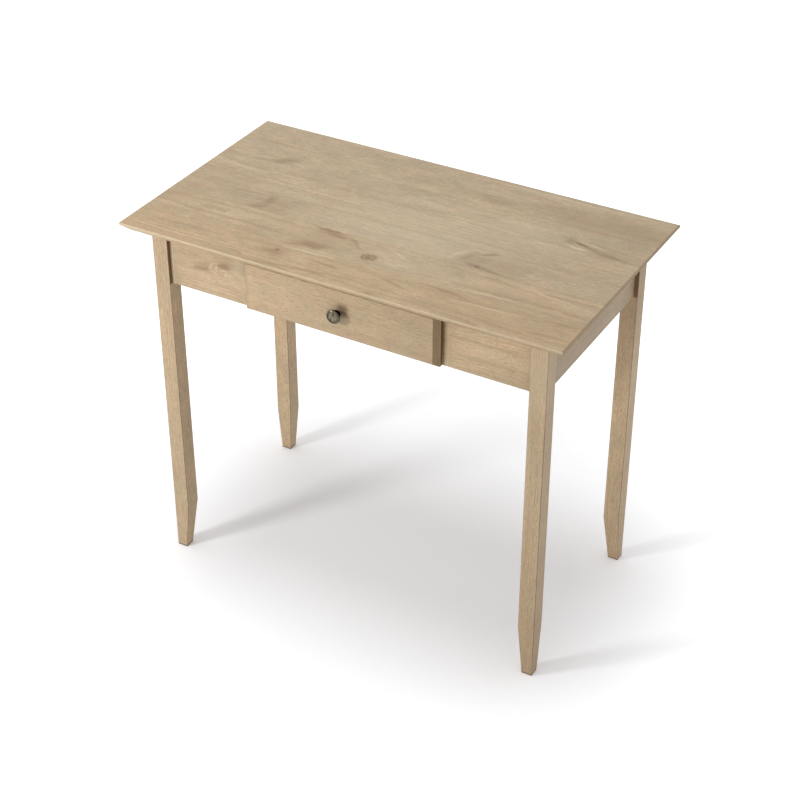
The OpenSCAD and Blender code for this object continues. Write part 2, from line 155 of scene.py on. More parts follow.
def vector(tree, operation, *values):
    """A sum on vectors. Its result is a vector too, apart from a LENGTH."""
    node = add(tree, "VectorMath", dict(enumerate(values)), operation=operation)
    return node.outputs["Value" if operation == "LENGTH" else "Vector"]


def remap(tree, value, start=(0.0, 1.0), end=(0.0, 1.0), ease="LINEAR"):
    """Lays the range start over the range end. Beyond its ends a value stays at them."""
    return add(tree, "MapRange", {0: value, 1: start[0], 2: start[1], 3: end[0], 4: end[1]},
               interpolation_type=ease).outputs[0]


def mix(tree, factor, first, second, blend="MIX"):
    """A colour on the way from the first to the second."""
    return add(tree, "Mix", {"Factor": factor, 6: first, 7: second}, data_type="RGBA",
               blend_type=blend).outputs[2]


def noise_at(tree, place, per_metre, detail, **inputs):
    """A noise node with so many lumps to a metre: one number, or a number for each axis. Its Fac
    is a number and its Color a vector."""
    if isinstance(per_metre, tuple):
        place, per_metre = vector(tree, "MULTIPLY", place, per_metre), 1.0
    return add(tree, "TexNoise", {"Vector": place, "Scale": per_metre, "Detail": detail,
                                  **inputs})


def surface(tree, inputs, relief=None):
    """The shader, wired to the output. relief is a height, how deep it goes in metres, and how
    strongly it shows."""
    if relief:
        height, depth, strength = relief
        bump = add(tree, "Bump", {"Strength": strength, "Distance": depth, "Height": height})
        inputs = {**inputs, "Normal": bump.outputs[0]}
    shader = add(tree, "BsdfPrincipled", inputs)
    add(tree, "OutputMaterial", {"Surface": shader.outputs[0]})


print("short ways:", [way.__name__ for way in (calc, vector, remap, mix, noise_at, surface)])

# %% [markdown]
# ## Light
# The photograph was lit softly from three places. A broad light right overhead gives the soft
# shadow under the desk. A small lamp at the front left, 24 degrees up, lights the front and
# throws the legs' thin shadows back to the right. An even white world fills the rest. Together
# they give the middle of the desk's top 0.85 of full white, so a colour renders nearly as it is
# written. The camera itself sees the world as pure white.

# %% Lamps and world
AIM = Vector((0.0, 0.0, 0.45))      # the middle of the desk
OVERHEAD_SHARE = 0.28               # of a full white, on a level surface
OVERHEAD_HEIGHT = math.radians(87.0)
OVERHEAD_DISC = math.radians(24.0)
ROOM_SHARE = 0.47
LAMP_TURN = math.radians(37.0)      # to the left of the desk's front normal
LAMP_HEIGHT = math.radians(24.0)
LAMP_AWAY = 2.3                     # metres from the desk's middle
LAMP_SIZE = 0.42
LAMP_SHARE = 0.33                   # of a full white, head-on at the desk's middle

overhead_data = bpy.data.lights.new("overhead", "SUN")
overhead_data.energy = math.pi * OVERHEAD_SHARE
overhead_data.angle = OVERHEAD_DISC
overhead = bpy.data.objects.new("overhead", overhead_data)
overhead.rotation_euler = (math.pi / 2 - OVERHEAD_HEIGHT, 0.0, -math.pi / 2)
scene.collection.objects.link(overhead)

toward = Vector((-math.cos(LAMP_HEIGHT) * math.sin(LAMP_TURN),
                 -math.cos(LAMP_HEIGHT) * math.cos(LAMP_TURN), math.sin(LAMP_HEIGHT)))
lamp_data = bpy.data.lights.new("front_left", "AREA")
lamp_data.shape = "DISK"
lamp_data.size = LAMP_SIZE
# A disc lamp of P watts gives P / (pi * pi * d * d) of full white, head-on at distance d.
lamp_data.energy = LAMP_SHARE * (math.pi * LAMP_AWAY) ** 2
lamp = bpy.data.objects.new("front_left", lamp_data)
lamp.location = AIM + LAMP_AWAY * toward
lamp.rotation_euler = (-toward).to_track_quat("-Z", "Y").to_euler()
lamp.visible_camera = False
scene.collection.objects.link(lamp)

world = bpy.data.worlds.new("room")
world.use_nodes = True
tree = world.node_tree
tree.nodes.clear()
ray = add(tree, "LightPath")
seen = ray.outputs["Is Camera Ray"]
for other in ("Is Glossy Ray", "Is Transmission Ray"):
    seen = calc(tree, "MAXIMUM", seen, ray.outputs[other])
room = add(tree, "Background", {"Color": WHITE, "Strength": ROOM_SHARE})
backdrop = add(tree, "Background", {"Color": WHITE, "Strength": 1.0})
mixed = add(tree, "MixShader", {0: seen, 1: room.outputs[0], 2: backdrop.outputs[0]})
add(tree, "OutputWorld", {"Surface": mixed.outputs[0]})
scene.world = world
scene.view_settings.view_transform = "Standard"
to_lamp = lamp.location - Vector((0.0, 0.0, cad_box[1].z))
from_lamp = LAMP_SHARE * (LAMP_AWAY / to_lamp.length) ** 2 * to_lamp.normalized().z
from_above = OVERHEAD_SHARE * math.sin(OVERHEAD_HEIGHT)
print("light on the desk's top:", round(from_above + ROOM_SHARE + from_lamp, 2))

# %% [markdown]
# ## Floor
# A studio floor is matt white card. Seen directly it is close to pure white wherever nothing
# shades it, and it keeps the desk's soft shadow. For the light that it throws back up it is a
# plain pale grey, as real card is. A little white is added to what the camera sees, an eighth
# near the desk and more further off, where the floor runs up into the backdrop of a studio.

# %% Floor
FLOOR_HALF = 12.0
FLOOR_LIFT = (0.125, 0.6)           # near the desk, and where the backdrop begins
SWEEP = (0.3, 1.15)                 # metres from the desk's middle
CARD_LIT, CARD_SEEN = "#e7e7e7", "#fbfcff"


def floor_material():
    """Matt white card, a cool white to the eye and 80% white to the light it returns."""
    material, tree = new_material("matt_white_card")
    ray = add(tree, "LightPath")
    seen = calc(tree, "MAXIMUM", ray.outputs["Is Camera Ray"], ray.outputs["Is Glossy Ray"])
    colour = mix(tree, seen, linear(CARD_LIT), linear(CARD_SEEN))
    shader = add(tree, "BsdfDiffuse", {"Color": colour})
    far = vector(tree, "LENGTH", add(tree, "TexCoord").outputs["Object"])
    lift = remap(tree, far, SWEEP, FLOOR_LIFT, "SMOOTHSTEP")
    lift = calc(tree, "MULTIPLY", seen, lift)
    glow = add(tree, "Emission", {"Color": WHITE, "Strength": lift})
    both = add(tree, "AddShader", {0: shader.outputs[0], 1: glow.outputs[0]})
    add(tree, "OutputMaterial", {"Surface": both.outputs[0]})
    return material


floor_mesh = bpy.data.meshes.new("floor")
corners = [(-1, -1, 0), (1, -1, 0), (1, 1, 0), (-1, 1, 0)]
floor_mesh.from_pydata([tuple(FLOOR_HALF * c for c in p) for p in corners], [], [(0, 1, 2, 3)])
floor_mesh.materials.append(floor_material())
floor = bpy.data.objects.new("floor", floor_mesh)
scene.collection.objects.link(floor)
print("floor is", 2 * FLOOR_HALF, "m wide")

# %% [markdown]
# ## Putting a surface into the scene
# A worked-out surface is an array of points and an array of faces. One helper turns it into a
# mesh and stores how far each point lies on an eased edge, for the materials to read. The other
# gives a piece its finish, hangs it on its body and hides the CAD node that it stands for.

# %% Piece helpers
def make_piece(name, points, faces, arris=None):
    """A mesh object of an array of points (n, 3) in metres and a list of faces, shaded smooth."""
    mesh = bpy.data.meshes.new(name)
    mesh.from_pydata(points.tolist(), [], faces)
    mesh.shade_smooth()
    if arris is not None:
        values = mesh.attributes.new("arris", "FLOAT", "POINT")
        values.data.foreach_set("value", arris.astype(np.float32))
    piece = bpy.data.objects.new(name, mesh)
    scene.collection.objects.link(piece)
    return piece


def stand_for(piece, node, body, material):
    """Gives a piece its material and its body, and hides the CAD node that it replaces."""
    piece.data.materials.clear()
    piece.data.materials.append(material)
    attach(piece, body)
    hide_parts(node)


# %% [markdown]
# ## Blocks with eased arrises
# No edge on a finished board is a knife edge: a joiner breaks every arris with sandpaper. A
# bevel modifier could do this, but a formula keeps the grid tidy, so that the same block can
# then be tapered or undercut. Grid lines crowd together near the edges, where the rounding is.

# %% Eased block
ARRIS_STEPS = np.tan(np.radians([45.0, 30.0, 15.0, 0.0]))
SUPPORT = 1.6                       # a last line this many radii in keeps the faces flat
LINE_GAP = MM / 10                  # the least distance between two lines
SAME_POINT = MM * 1e-3              # points closer than this are one


def grid_lines(lo, hi, ease_lo, ease_hi, middle=()):
    """Places along one side of a block, from lo to hi: close lines over the eased ends, one
    support line inside each, and the middle ones that a shape asks for."""
    near_lo = lo + ease_lo * np.append(1 - ARRIS_STEPS, SUPPORT)
    near_hi = hi - ease_hi * np.append(1 - ARRIS_STEPS, SUPPORT)
    inner = [m for m in middle if near_lo[-1] + LINE_GAP < m < near_hi[-1] - LINE_GAP]
    return np.array(sorted([*near_lo, *inner, *near_hi]))


def eased_block(lines, ease_lo, ease_hi):
    """Six grids on a block. Each point p is pulled to the nearest point q of an inner block,
    smaller by the easing, and lands at q + easing * unit(p - q), so every arris is an arc.
    arris is 0 on a flat face and 1 half way round an arc."""
    low = np.array([side[0] for side in lines])
    high = np.array([side[-1] for side in lines])
    ease_lo, ease_hi = np.asarray(ease_lo, float), np.asarray(ease_hi, float)
    points, faces, start = [], [], 0
    for axis in range(3):
        b, c = (axis + 1) % 3, (axis + 2) % 3
        for end in (low, high):
            grid_b, grid_c = np.meshgrid(lines[b], lines[c], indexing="ij")
            grid = np.empty((grid_b.size, 3))
            grid[:, axis], grid[:, b], grid[:, c] = end[axis], grid_b.ravel(), grid_c.ravel()
            index = start + np.arange(grid_b.size).reshape(grid_b.shape)
            quads = np.stack([index[:-1, :-1], index[1:, :-1], index[1:, 1:], index[:-1, 1:]], -1)
            quads = quads.reshape(-1, 4)
            faces.append(quads if end is high else quads[:, ::-1])
            points.append(grid)
            start += len(grid)
    points, faces = np.concatenate(points), np.concatenate(faces)
    _, first, back = np.unique(np.round(points / SAME_POINT), axis=0, return_index=True,
                               return_inverse=True)
    points, faces = points[first], back.reshape(-1)[faces]
    inner = np.clip(points, low + ease_lo, high - ease_hi)
    ease = np.where(points < low + ease_lo, ease_lo, ease_hi)
    unit = (points - inner) / ease
    unit /= np.linalg.norm(unit, axis=1, keepdims=True)
    flat = np.abs(unit).max(axis=1)
    arris = np.clip((1 - flat) / (1 - math.sqrt(0.5)), 0, 1)
    return inner + ease * unit, faces, arris


def lines_for(node, ease_lo, ease_hi, middle):
    """The grid lines of a CAD node's box, with the middle lines along each axis."""
    low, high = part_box(node)
    return [grid_lines(low[i], high[i], ease_lo[i], ease_hi[i], middle[i]) for i in range(3)]


print("lines over an eased end:", np.round(1 - ARRIS_STEPS, 2), "of its width")

# %% [markdown]
# ## Legs
# Each leg is a square stick. Low down, at the knee, its two inner faces start to slope in, which
# leaves a slim foot; the two outer faces run straight down. Scaling the width along the height
# does that to an eased block, measured from the leg's outer corner.

# %% Legs
LEG_EASE = 1.2 * MM
FOOT_WIDTH = 21.5 * MM
KNEE = 108 * MM
KNEE_SOFT = 2.5 * MM
FOOT_LINES = (0.25, 0.5, 0.75)      # as shares of the knee's height
STEM_FROM, STEM_TO = 60 * MM, 20 * MM    # above the knee and below the top end
STEM_LINES = 10

leg_pieces = {}
for node in [n for n in nodes if n.startswith(("leg_front", "leg_back"))]:
    low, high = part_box(node)
    ease = np.full(3, LEG_EASE)
    knee_lines = [KNEE * s for s in FOOT_LINES] + [KNEE - KNEE_SOFT, KNEE, KNEE + KNEE_SOFT]
    stem_lines = list(np.linspace(KNEE + STEM_FROM, high.z - STEM_TO, STEM_LINES))
    points, faces, arris = eased_block(
        lines_for(node, ease, ease, [(), (), knee_lines + stem_lines]), ease, ease)
    outer = np.array([high.x if high.x > 0 else low.x, high.y if high.y > 0 else low.y])
    width = high.x - low.x
    local = FOOT_WIDTH + (width - FOOT_WIDTH) * np.clip(points[:, 2:] / KNEE, 0, 1)
    points[:, :2] = outer + (points[:, :2] - outer) * local / width
    leg_pieces[node] = make_piece(node + "_wood", points, faces.tolist(), arris)
print("legs:", {n: len(p.data.vertices) for n, p in leg_pieces.items()})

# %% [markdown]
# ## Top
# The top is glued up from six boards. Around its edge a square land is left above, and below it
# the wood is cut back at a slope, so that the top looks thinner than it is. The slope thins each
# board by how near a point is to the edge. The joints between boards are all but invisible:
# two edges that are each eased by a tenth of a millimetre.

# %% Top boards
TOP_EASE = 1.4 * MM
JOINT_EASE = 0.1 * MM
TOP_LAND = 4 * MM
BEVEL_RUN = 15 * MM
KEPT = 2.5 * MM                     # depth below the face that the undercut leaves as it is
BEVEL_LINES = (0.25, 0.5, 0.75, 0.97, 1.0, 1.05)     # as shares of the bevel's run
TOP_LINES_FROM = 60 * MM
TOP_LINES = 14

top_nodes = [f"top_board_{n}" for n in range(1, 7)]
top_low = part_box(top_nodes[0])[0]
top_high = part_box(top_nodes[-1])[1]
top_thick = top_high.z - top_low.z


def undercut(points):
    """Thins the top towards its edge: with e the distance in from the nearest edge, the
    thickness is the land at e = 0 and grows evenly to the full top at e = the bevel's run."""
    half = np.array([top_high.x, top_high.y])
    inward = (half - np.abs(points[:, :2])).min(axis=1)
    local = TOP_LAND + (top_thick - TOP_LAND) * np.clip(inward / BEVEL_RUN, 0, 1)
    depth = top_high.z - points[:, 2]
    squeezed = KEPT + (depth - KEPT) * (local - KEPT) / (top_thick - KEPT)
    points[:, 2] = top_high.z - np.where(depth > KEPT, squeezed, depth)
    return points


top_pieces = {}
for node in top_nodes:
    low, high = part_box(node)
    outer_lo, outer_hi = node == top_nodes[0], node == top_nodes[-1]
    ease_lo = np.array([TOP_EASE, TOP_EASE if outer_lo else JOINT_EASE, TOP_EASE])
    ease_hi = np.array([TOP_EASE, TOP_EASE if outer_hi else JOINT_EASE, TOP_EASE])
    run = [BEVEL_RUN * share for share in BEVEL_LINES]
    across_x = [low.x + r for r in run] + [high.x - r for r in run]
    across_x += list(np.linspace(low.x + TOP_LINES_FROM, high.x - TOP_LINES_FROM, TOP_LINES))
    across_y = [low.y + r for r in run] if outer_lo else []
    across_y += [high.y - r for r in run] if outer_hi else []
    depths = [high.z - KEPT]
    points, faces, arris = eased_block(
        lines_for(node, ease_lo, ease_hi, [across_x, across_y, depths]), ease_lo, ease_hi)
    top_pieces[node] = make_piece(node + "_wood", undercut(points), faces.tolist(), arris)
print("top boards:", {n: len(p.data.vertices) for n, p in top_pieces.items()})

# %% [markdown]
# ## Drawer front
# The drawer front is a thicker board than the aprons. Its face stands proud, and a mitred bevel
# falls away from it on all four edges. The same eased block is pushed back near its edges by
# the bevel's slope; the largest of the slopes wins, which gives straight mitres at the corners.

# %% Drawer front
FRONT_EASE = 0.9 * MM
FRONT_BEVEL = 9 * MM
FRONT_DROP = 12 * MM
FRONT_LINES_FROM = 30 * MM
FRONT_LINES = 8
MITRE_LINES = (0.25, 0.5, 0.75, 0.94, 1.0, 1.08)     # as shares of the bevel's width

front_low, front_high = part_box("drawer_front")
front_mid = (np.array(front_low) + np.array(front_high)) / 2
front_half = (np.array(front_high) - np.array(front_low)) / 2
ease = np.full(3, FRONT_EASE)
run = [FRONT_BEVEL * share for share in MITRE_LINES]
lines = [[lo + r for r in run] + [hi - r for r in run] for lo, hi in zip(front_low, front_high)]
lines[0] += list(np.linspace(front_low.x + FRONT_LINES_FROM, front_high.x - FRONT_LINES_FROM,
                             FRONT_LINES))
points, faces, arris = eased_block(
    lines_for("drawer_front", ease, ease, [lines[0], (), lines[2]]), ease, ease)
inward = (front_half[[0, 2]] - np.abs(points[:, [0, 2]] - front_mid[[0, 2]])).min(axis=1)
drop = FRONT_DROP * np.clip(1 - inward / FRONT_BEVEL, 0, 1)
thick = front_high.y - front_low.y
points[:, 1] = front_high.y - (front_high.y - points[:, 1]) * (thick - drop) / thick
front_piece = make_piece("drawer_front_wood", points, faces.tolist(), arris)
print("drawer front:", len(front_piece.data.vertices), "points")

# %% [markdown]
# ## Boards with holes and openings
# The aprons, blocks, rails and the drawer's box have screw holes or a window, which a plain
# block has not. For them a copy of the CAD node is merged, and a Bevel modifier eases its long
# edges only: small round holes keep their edges.

# %% Eased copies
LONG_EDGE = 6 * MM
SHARP = math.radians(40)
FLAT = math.radians(0.5)            # faces that meet at less than this are one
ROUND_STEPS = 3


def eased_copy(node, ease):
    """A merged copy of a CAD node with a Bevel modifier on its long sharp edges."""
    mesh = nodes[node].data.copy()
    shape = bmesh.new()
    shape.from_mesh(mesh)
    bmesh.ops.remove_doubles(shape, verts=shape.verts, dist=SAME_POINT)
    bmesh.ops.dissolve_limit(shape, angle_limit=FLAT, verts=shape.verts, edges=shape.edges)
    weight = shape.edges.layers.float.new("bevel_weight_edge")
    for edge in shape.edges:
        long_sharp = len(edge.link_faces) == 2 and edge.calc_face_angle() > SHARP
        edge[weight] = 1.0 if long_sharp and edge.calc_length() > LONG_EDGE else 0.0
    shape.to_mesh(mesh)
    shape.free()
    mesh.shade_smooth()
    piece = bpy.data.objects.new(node + "_eased", mesh)
    scene.collection.objects.link(piece)
    bevel = piece.modifiers.new("arris", "BEVEL")
    bevel.limit_method = "WEIGHT"
    bevel.width = ease
    bevel.segments = ROUND_STEPS
    bevel.harden_normals = True
    bevel.use_clamp_overlap = False
    return piece


APRON_EASE = 0.8 * MM
INSIDE_EASE = 0.6 * MM
APRONS = ["front_apron", "back_apron", "side_apron_left", "side_apron_right"]
INSIDE = ["corner_block_front_left", "corner_block_front_right", "corner_block_back_left",
          "corner_block_back_right", "guide_rail_left", "guide_rail_right", "box_front",
          "box_side_left", "box_side_right", "box_back"]
eased_pieces = {node: eased_copy(node, APRON_EASE) for node in APRONS}
eased_pieces.update({node: eased_copy(node, INSIDE_EASE) for node in INSIDE})
print("eased copies:", len(eased_pieces))

# %% [markdown]
# ## Knob
# The knob is turned and plated: a foot on the wood, a waisted neck, a flared head, and a face
# with a raised rim and a shallow dome. A profile of radii and distances is carried once round
# the knob's axis.

# %% Knob
def arc(centre, radii, start, end, count):
    """Points on an ellipse's arc, angles in degrees, as (radius, distance out) pairs."""
    turn = np.radians(np.linspace(start, end, count))
    return np.stack([centre[0] + radii[0] * np.cos(turn), centre[1] + radii[1] * np.sin(turn)], 1)


knob_low, knob_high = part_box("knob")
knob_r = (knob_high.x - knob_low.x) / 2
knob_out = knob_high.y - knob_low.y
neck_r = 4.6 * MM
head_z = knob_out - 5 * MM
profile = np.concatenate([
    # The foot stands on the wood with a rounded edge, and a hollow leads into the neck.
    [[neck_r + 2.6 * MM, 0]],
    arc((neck_r + 1.8 * MM, 0.8 * MM), (0.8 * MM, 0.8 * MM), 0, 90, 6),
    arc((neck_r + 1.2 * MM, 3 * MM), (1.2 * MM, 1.2 * MM), 240, 180, 8),
    # The neck flares out to the head, whose side is rounded.
    arc((knob_r, head_z * 0.55), (knob_r - neck_r, head_z * 0.45), 180, 98, 22),
    arc((knob_r - 1.2 * MM, head_z + 2.2 * MM), (1.2 * MM, 1.8 * MM), -60, 60, 14),
    # A rim stands up round the face, and inside it the face is a shallow dome.
    arc((knob_r - 2.5 * MM, knob_out - 1.3 * MM), (1.1 * MM, 1.1 * MM), 20, 180, 16),
    arc((0, knob_out - 1.3 * MM), (knob_r - 3.6 * MM, 1.3 * MM), 12, 88, 12)])


def turned(profile, around, place):
    """A surface of revolution about Y: point (r, d) of the profile at angle a lands at
    (x + r cos a, y - d, z + r sin a). Both ends are closed with a fan."""
    turn = np.linspace(0, 2 * math.pi, around, endpoint=False)
    ring = np.stack([profile[:, :1] * np.cos(turn),
                     np.repeat(-profile[:, 1:], around, 1),
                     profile[:, :1] * np.sin(turn)], -1)
    points = np.concatenate([ring.reshape(-1, 3), [[0, -profile[0, 1], 0]],
                             [[0, -profile[-1, 1], 0]]]) + place
    i, j = np.meshgrid(np.arange(len(profile) - 1), np.arange(around), indexing="ij")
    k = (j + 1) % around
    quads = np.stack([i * around + j, i * around + k, (i + 1) * around + k,
                      (i + 1) * around + j], -1).reshape(-1, 4)
    j = np.arange(around)
    k = (j + 1) % around
    last = (len(profile) - 1) * around
    foot = np.stack([np.full(around, len(points) - 2), k, j], -1)
    face = np.stack([last + j, last + k, np.full(around, len(points) - 1)], -1)
    return points, quads, np.concatenate([foot, face])


KNOB_AROUND = 120
knob_x, knob_z = (knob_low.x + knob_high.x) / 2, (knob_low.z + knob_high.z) / 2
knob_place = np.array([knob_x, knob_high.y, knob_z])
points, quads, fans = turned(profile, KNOB_AROUND, knob_place)
knob_piece = make_piece("knob_turned", points, quads.tolist() + fans.tolist())
print("knob:", len(points), "points, radius", round(knob_r / MM, 1), "mm")

# %% [markdown]
# ## Stained pine
# Pine is a softwood with wide rings: pale spring wood that darkens into a narrow line of summer
# wood each year. A board shows the rings as lines where it is cut along the trunk and as arcs
# on its ends. The pattern here is the trunk itself, a stack of wavy cylinders around the pith,
# and each board cuts it at its own place. The finish is a thin grey-beige stain, sanded back,
# under a satin lacquer. The colours come first, and then the noise patterns in one table.

# %% Pine's colours and patterns
PALE, RING, DARK, KNOT = "#cab596", "#af9675", "#93775a", "#7c5d42"
PAINTED_SHADE = "#5f4429"                  # painted shade, in gaps, under the top and where shadows fall
GLINT = "#e8d8ba"                   # fibres that catch the light
WARM, COOL = (1.022, 0.988, 0.985), (0.982, 1.010, 1.0)
RING_PROFILE = [(0.0, 0.0), (0.35, 0.1), (0.7, 0.5), (0.86, 1.0), (0.94, 0.85), (1.0, 0.0)]

# How many go to a metre along, across and into the board, then the noise's detail and roughness.
# The stain took unevenly, in drawn-out clouds of 56 by 29 mm with ever finer ones in them. Real
# fibres, specks and resin ducts are finer than a millimetre. Here fibres and specks are about
# 2.4 mm wide and ducts 1.4 mm, so that they show.
PATTERNS = {
    "clouds": ((18, 34, 34), 6.0, 0.68),
    "bands": ((4, 12, 12), 3.0, 0.5),
    "hue": ((24, 36, 36), 4.0, 0.5),
    "specks": ((190, 420, 420), 2.0, 0.7),
    "end_lines": ((420, 28, 420), 2.0, 0.5),
    "fibres": ((55, 430, 430), 3.0, 0.7),
    "ducts": ((90, 700, 700), 0.0, 0.5)}
WITH_THE_TRUNK = ("fibres", "ducts")     # these follow the trunk's bends


def patterns(tree, apart, bent):
    """The table's patterns: noise, read at a place times its count per metre."""
    noise = {}
    for name, (per_metre, detail, roughness) in PATTERNS.items():
        where = bent if name in WITH_THE_TRUNK else apart
        noise[name] = noise_at(tree, where, per_metre, detail, Roughness=roughness).outputs["Fac"]
    return noise


for name, (per_metre, *_) in PATTERNS.items():
    print(name, "in mm:", [round(1 / n / MM, 1) for n in per_metre])

# %% [markdown]
# ## A board's place in its trunk
# A material knows a point's place on the desk. For the grain it needs the place on the board,
# so the axes are reordered, along the grain first, and the board's middle becomes the origin.
# Noise is read at a spot far off that the board's seed picks, or all boards would look alike.
# The trunk isn't straight either: its rings wander over half a metre or so.

# %% Place in the trunk
SEED_STEP = (1.37, 0.71, 0.29)      # metres for each unit of seed
WANDER_PER_METRE = (1.7, 7.0, 7.0)
NOISE_MEAN = (0.5, 0.5, 0.5)


def board_place(tree, order, centre, seed):
    """The point on the desk, its x, its place from the board's centre with the axes in the
    given order, and that place plus the seed's step."""
    point = add(tree, "TexCoord").outputs["Object"]
    split = add(tree, "SeparateXYZ", {0: point})
    board = add(tree, "CombineXYZ", {i: split.outputs[axis] for i, axis in enumerate(order)})
    middle = tuple(centre[axis] for axis in order)
    place = vector(tree, "SUBTRACT", board.outputs[0], middle)
    apart = vector(tree, "ADD", place, tuple(seed * along for along in SEED_STEP))
    return point, split.outputs[0], place, apart


def wandered(tree, place, apart, wave, pith):
    """The place pushed by (slow noise - its mean) * wave, and its distance from the pith. wave
    and pith are across and into the board, in millimetres."""
    wander = noise_at(tree, apart, WANDER_PER_METRE, 4.0).outputs["Color"]
    shift = vector(tree, "SUBTRACT", wander, NOISE_MEAN)
    bent = vector(tree, "MULTIPLY_ADD", shift, (0, wave[0] * MM, wave[1] * MM), place)
    spoke = vector(tree, "MULTIPLY_ADD", bent, (0, 1, 1), (0, -pith[0] * MM, -pith[1] * MM))
    return bent, vector(tree, "LENGTH", spoke)


def centre_of(node):
    """The middle of a CAD node's box."""
    low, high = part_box(node)
    return tuple((a + b) / 2 for a, b in zip(low, high))


print("a seed of 1 moves the noise", [round(step, 2) for step in SEED_STEP], "m")

# %% [markdown]
# ## Knots, streaks and glints
# A knot is a branch: near it the rings swell and the lines run round it, and its rim and heart
# are darkest. Dark streaks of stain and pale glints lie mostly along the grain, and some broad
# ones are painted shade and painted light. All are ovals, set where the photographed boards show
# them, with ragged outlines: the place is stirred by a noise before it is measured. A knot's and
# a streak's reach is given in its own radii.

# %% Marks in the wood
STIR_PER_METRE = 60.0
STIR = (15 * MM, 9 * MM, 0)         # how far the outlines are stirred
SWELL_ENDS = 4.5                    # where the rings round a knot run straight again
KNOT_EDGE = (1.4, 0.6)              # from no knot to all knot
KNOT_SHADES = [(0.0, 0.95), (0.3, 0.6), (0.62, 0.42), (0.86, 0.9), (1.0, 0.3)]
CROWDED_EDGE = (3.6, 1.2)           # the rings beside a knot are stronger
CROWDED = 0.5
STREAK_EDGE = (1.35, 0.15)


def oval_distance(tree, place, centre, size, turn):
    """How far a point is from an oval's centre, 1 on its rim. centre and size are along and
    across the grain in millimetres, turn in degrees."""
    oval = add(tree, "Mapping", {
        "Vector": place, "Location": (centre[0] * MM, centre[1] * MM, 0),
        "Rotation": (0, 0, math.radians(turn)), "Scale": (size[0] * MM, size[1] * MM, 1)},
        vector_type="TEXTURE")
    flat = vector(tree, "MULTIPLY", oval.outputs[0], (1, 1, 0))
    return vector(tree, "LENGTH", flat)


def marks_in_wood(tree, place, apart, radius, knots, streaks_light_and_shade):
    """The ring's radius with each knot's swell added, and the masks of knots, of the rings
    beside them, of streaks and of glints. Each mask eases from 0 to its strength across the
    edge of its oval."""
    stir = noise_at(tree, apart, STIR_PER_METRE, 3.0).outputs["Color"]
    stirred = vector(tree, "SUBTRACT", stir, NOISE_MEAN)
    ragged = vector(tree, "MULTIPLY_ADD", stirred, STIR, place)
    masks = {"knots": [], "beside": [], "streaks_light_and_shade": [], "glints": []}
    for along, across, length, width, turn, swell in knots:
        near = oval_distance(tree, ragged, (along, across), (length / 2, width / 2), turn)
        lift = remap(tree, near, (0.0, SWELL_ENDS), (swell * MM, 0.0), "SMOOTHERSTEP")
        radius = calc(tree, "ADD", radius, lift)
        inside = remap(tree, near, KNOT_EDGE, ease="SMOOTHSTEP")
        shades = add(tree, "ValToRGB", {0: near}, stops=KNOT_SHADES).outputs[0]
        masks["knots"].append(calc(tree, "MULTIPLY", inside, shades))
        masks["beside"].append(remap(tree, near, CROWDED_EDGE, (0.0, CROWDED), "SMOOTHSTEP"))
    for along, across, length, width, turn, depth in streaks_light_and_shade:
        near = oval_distance(tree, ragged, (along, across), (length / 2, width / 2), turn)
        masks["streaks_light_and_shade" if depth > 0 else "glints"].append(
            remap(tree, near, STREAK_EDGE, (0.0, abs(depth)), "SMOOTHSTEP"))
    return radius, masks


def strongest(tree, masks):
    """The largest of several masks."""
    top = masks[0]
    for mask in masks[1:]:
        top = calc(tree, "MAXIMUM", top, mask)
    return top


print("the rings swell out to", SWELL_ENDS, "radii of a knot")

# %% [markdown]
# ## Years
# The distance from the pith, in ring widths, counts the years, and its fraction gives the shade
# within one year. Good and bad years differ in width and in depth, and a ring line fades in and
# out with the clouds of stain.

# %% Rings of the years
WIDTH_RUN = 0.45                    # noise for each year: how soon wide and narrow years change
WIDTH_DRIFT = 3.0                   # years that they shift the count by, at most
CLOUD_DRIFT = 0.9                   # years, by which the clouds make the lines uneven
DEPTH_RUN = 0.31
DEPTH_FROM = (0.16, 0.42)           # the depth noise that gives faint and strong rings
DEPTH_TO = (0.1, 1.1)
DEPTH_GAIN = 1.7                    # makes up for the clouds, whose mean is a half
SPRING_ENDS = 0.2                   # the shade up to which wood is spring wood
SPRING_LIFT = 0.10


def years(tree, radius, ring_mm, rings, noise, beside_knots):
    """Summer wood as a mask, and spring wood as a shade a little over 1: the ring profile of
    the fraction of radius / ring width, times a depth that varies by the year."""
    year = calc(tree, "DIVIDE", radius, ring_mm * MM)
    widths = add(tree, "TexNoise", {"W": year, "Scale": WIDTH_RUN, "Detail": 1.0},
                 noise_dimensions="1D").outputs["Fac"]
    for uneven, drift in ((widths, WIDTH_DRIFT), (noise["clouds"], CLOUD_DRIFT)):
        year = calc(tree, "MULTIPLY_ADD", uneven, drift, year)
    fraction = calc(tree, "FRACT", year)
    summer = add(tree, "ValToRGB", {0: fraction}, stops=RING_PROFILE).outputs[0]
    depth = add(tree, "TexNoise", {"W": year, "Scale": DEPTH_RUN, "Detail": 1.0},
                noise_dimensions="1D").outputs["Fac"]
    depth = calc(tree, "MULTIPLY", depth, noise["bands"])
    depth = remap(tree, depth, DEPTH_FROM, [end * rings for end in DEPTH_TO])
    depth = strongest(tree, [depth, *beside_knots])
    for factor in (noise["clouds"], DEPTH_GAIN):
        depth = calc(tree, "MULTIPLY", depth, factor)
    spring = remap(tree, summer, (0.0, SPRING_ENDS), (SPRING_LIFT, 0.0))
    return calc(tree, "MULTIPLY", summer, depth), calc(tree, "MULTIPLY_ADD", spring, depth, 1.0)


print("ring profile:", len(RING_PROFILE), "stops")
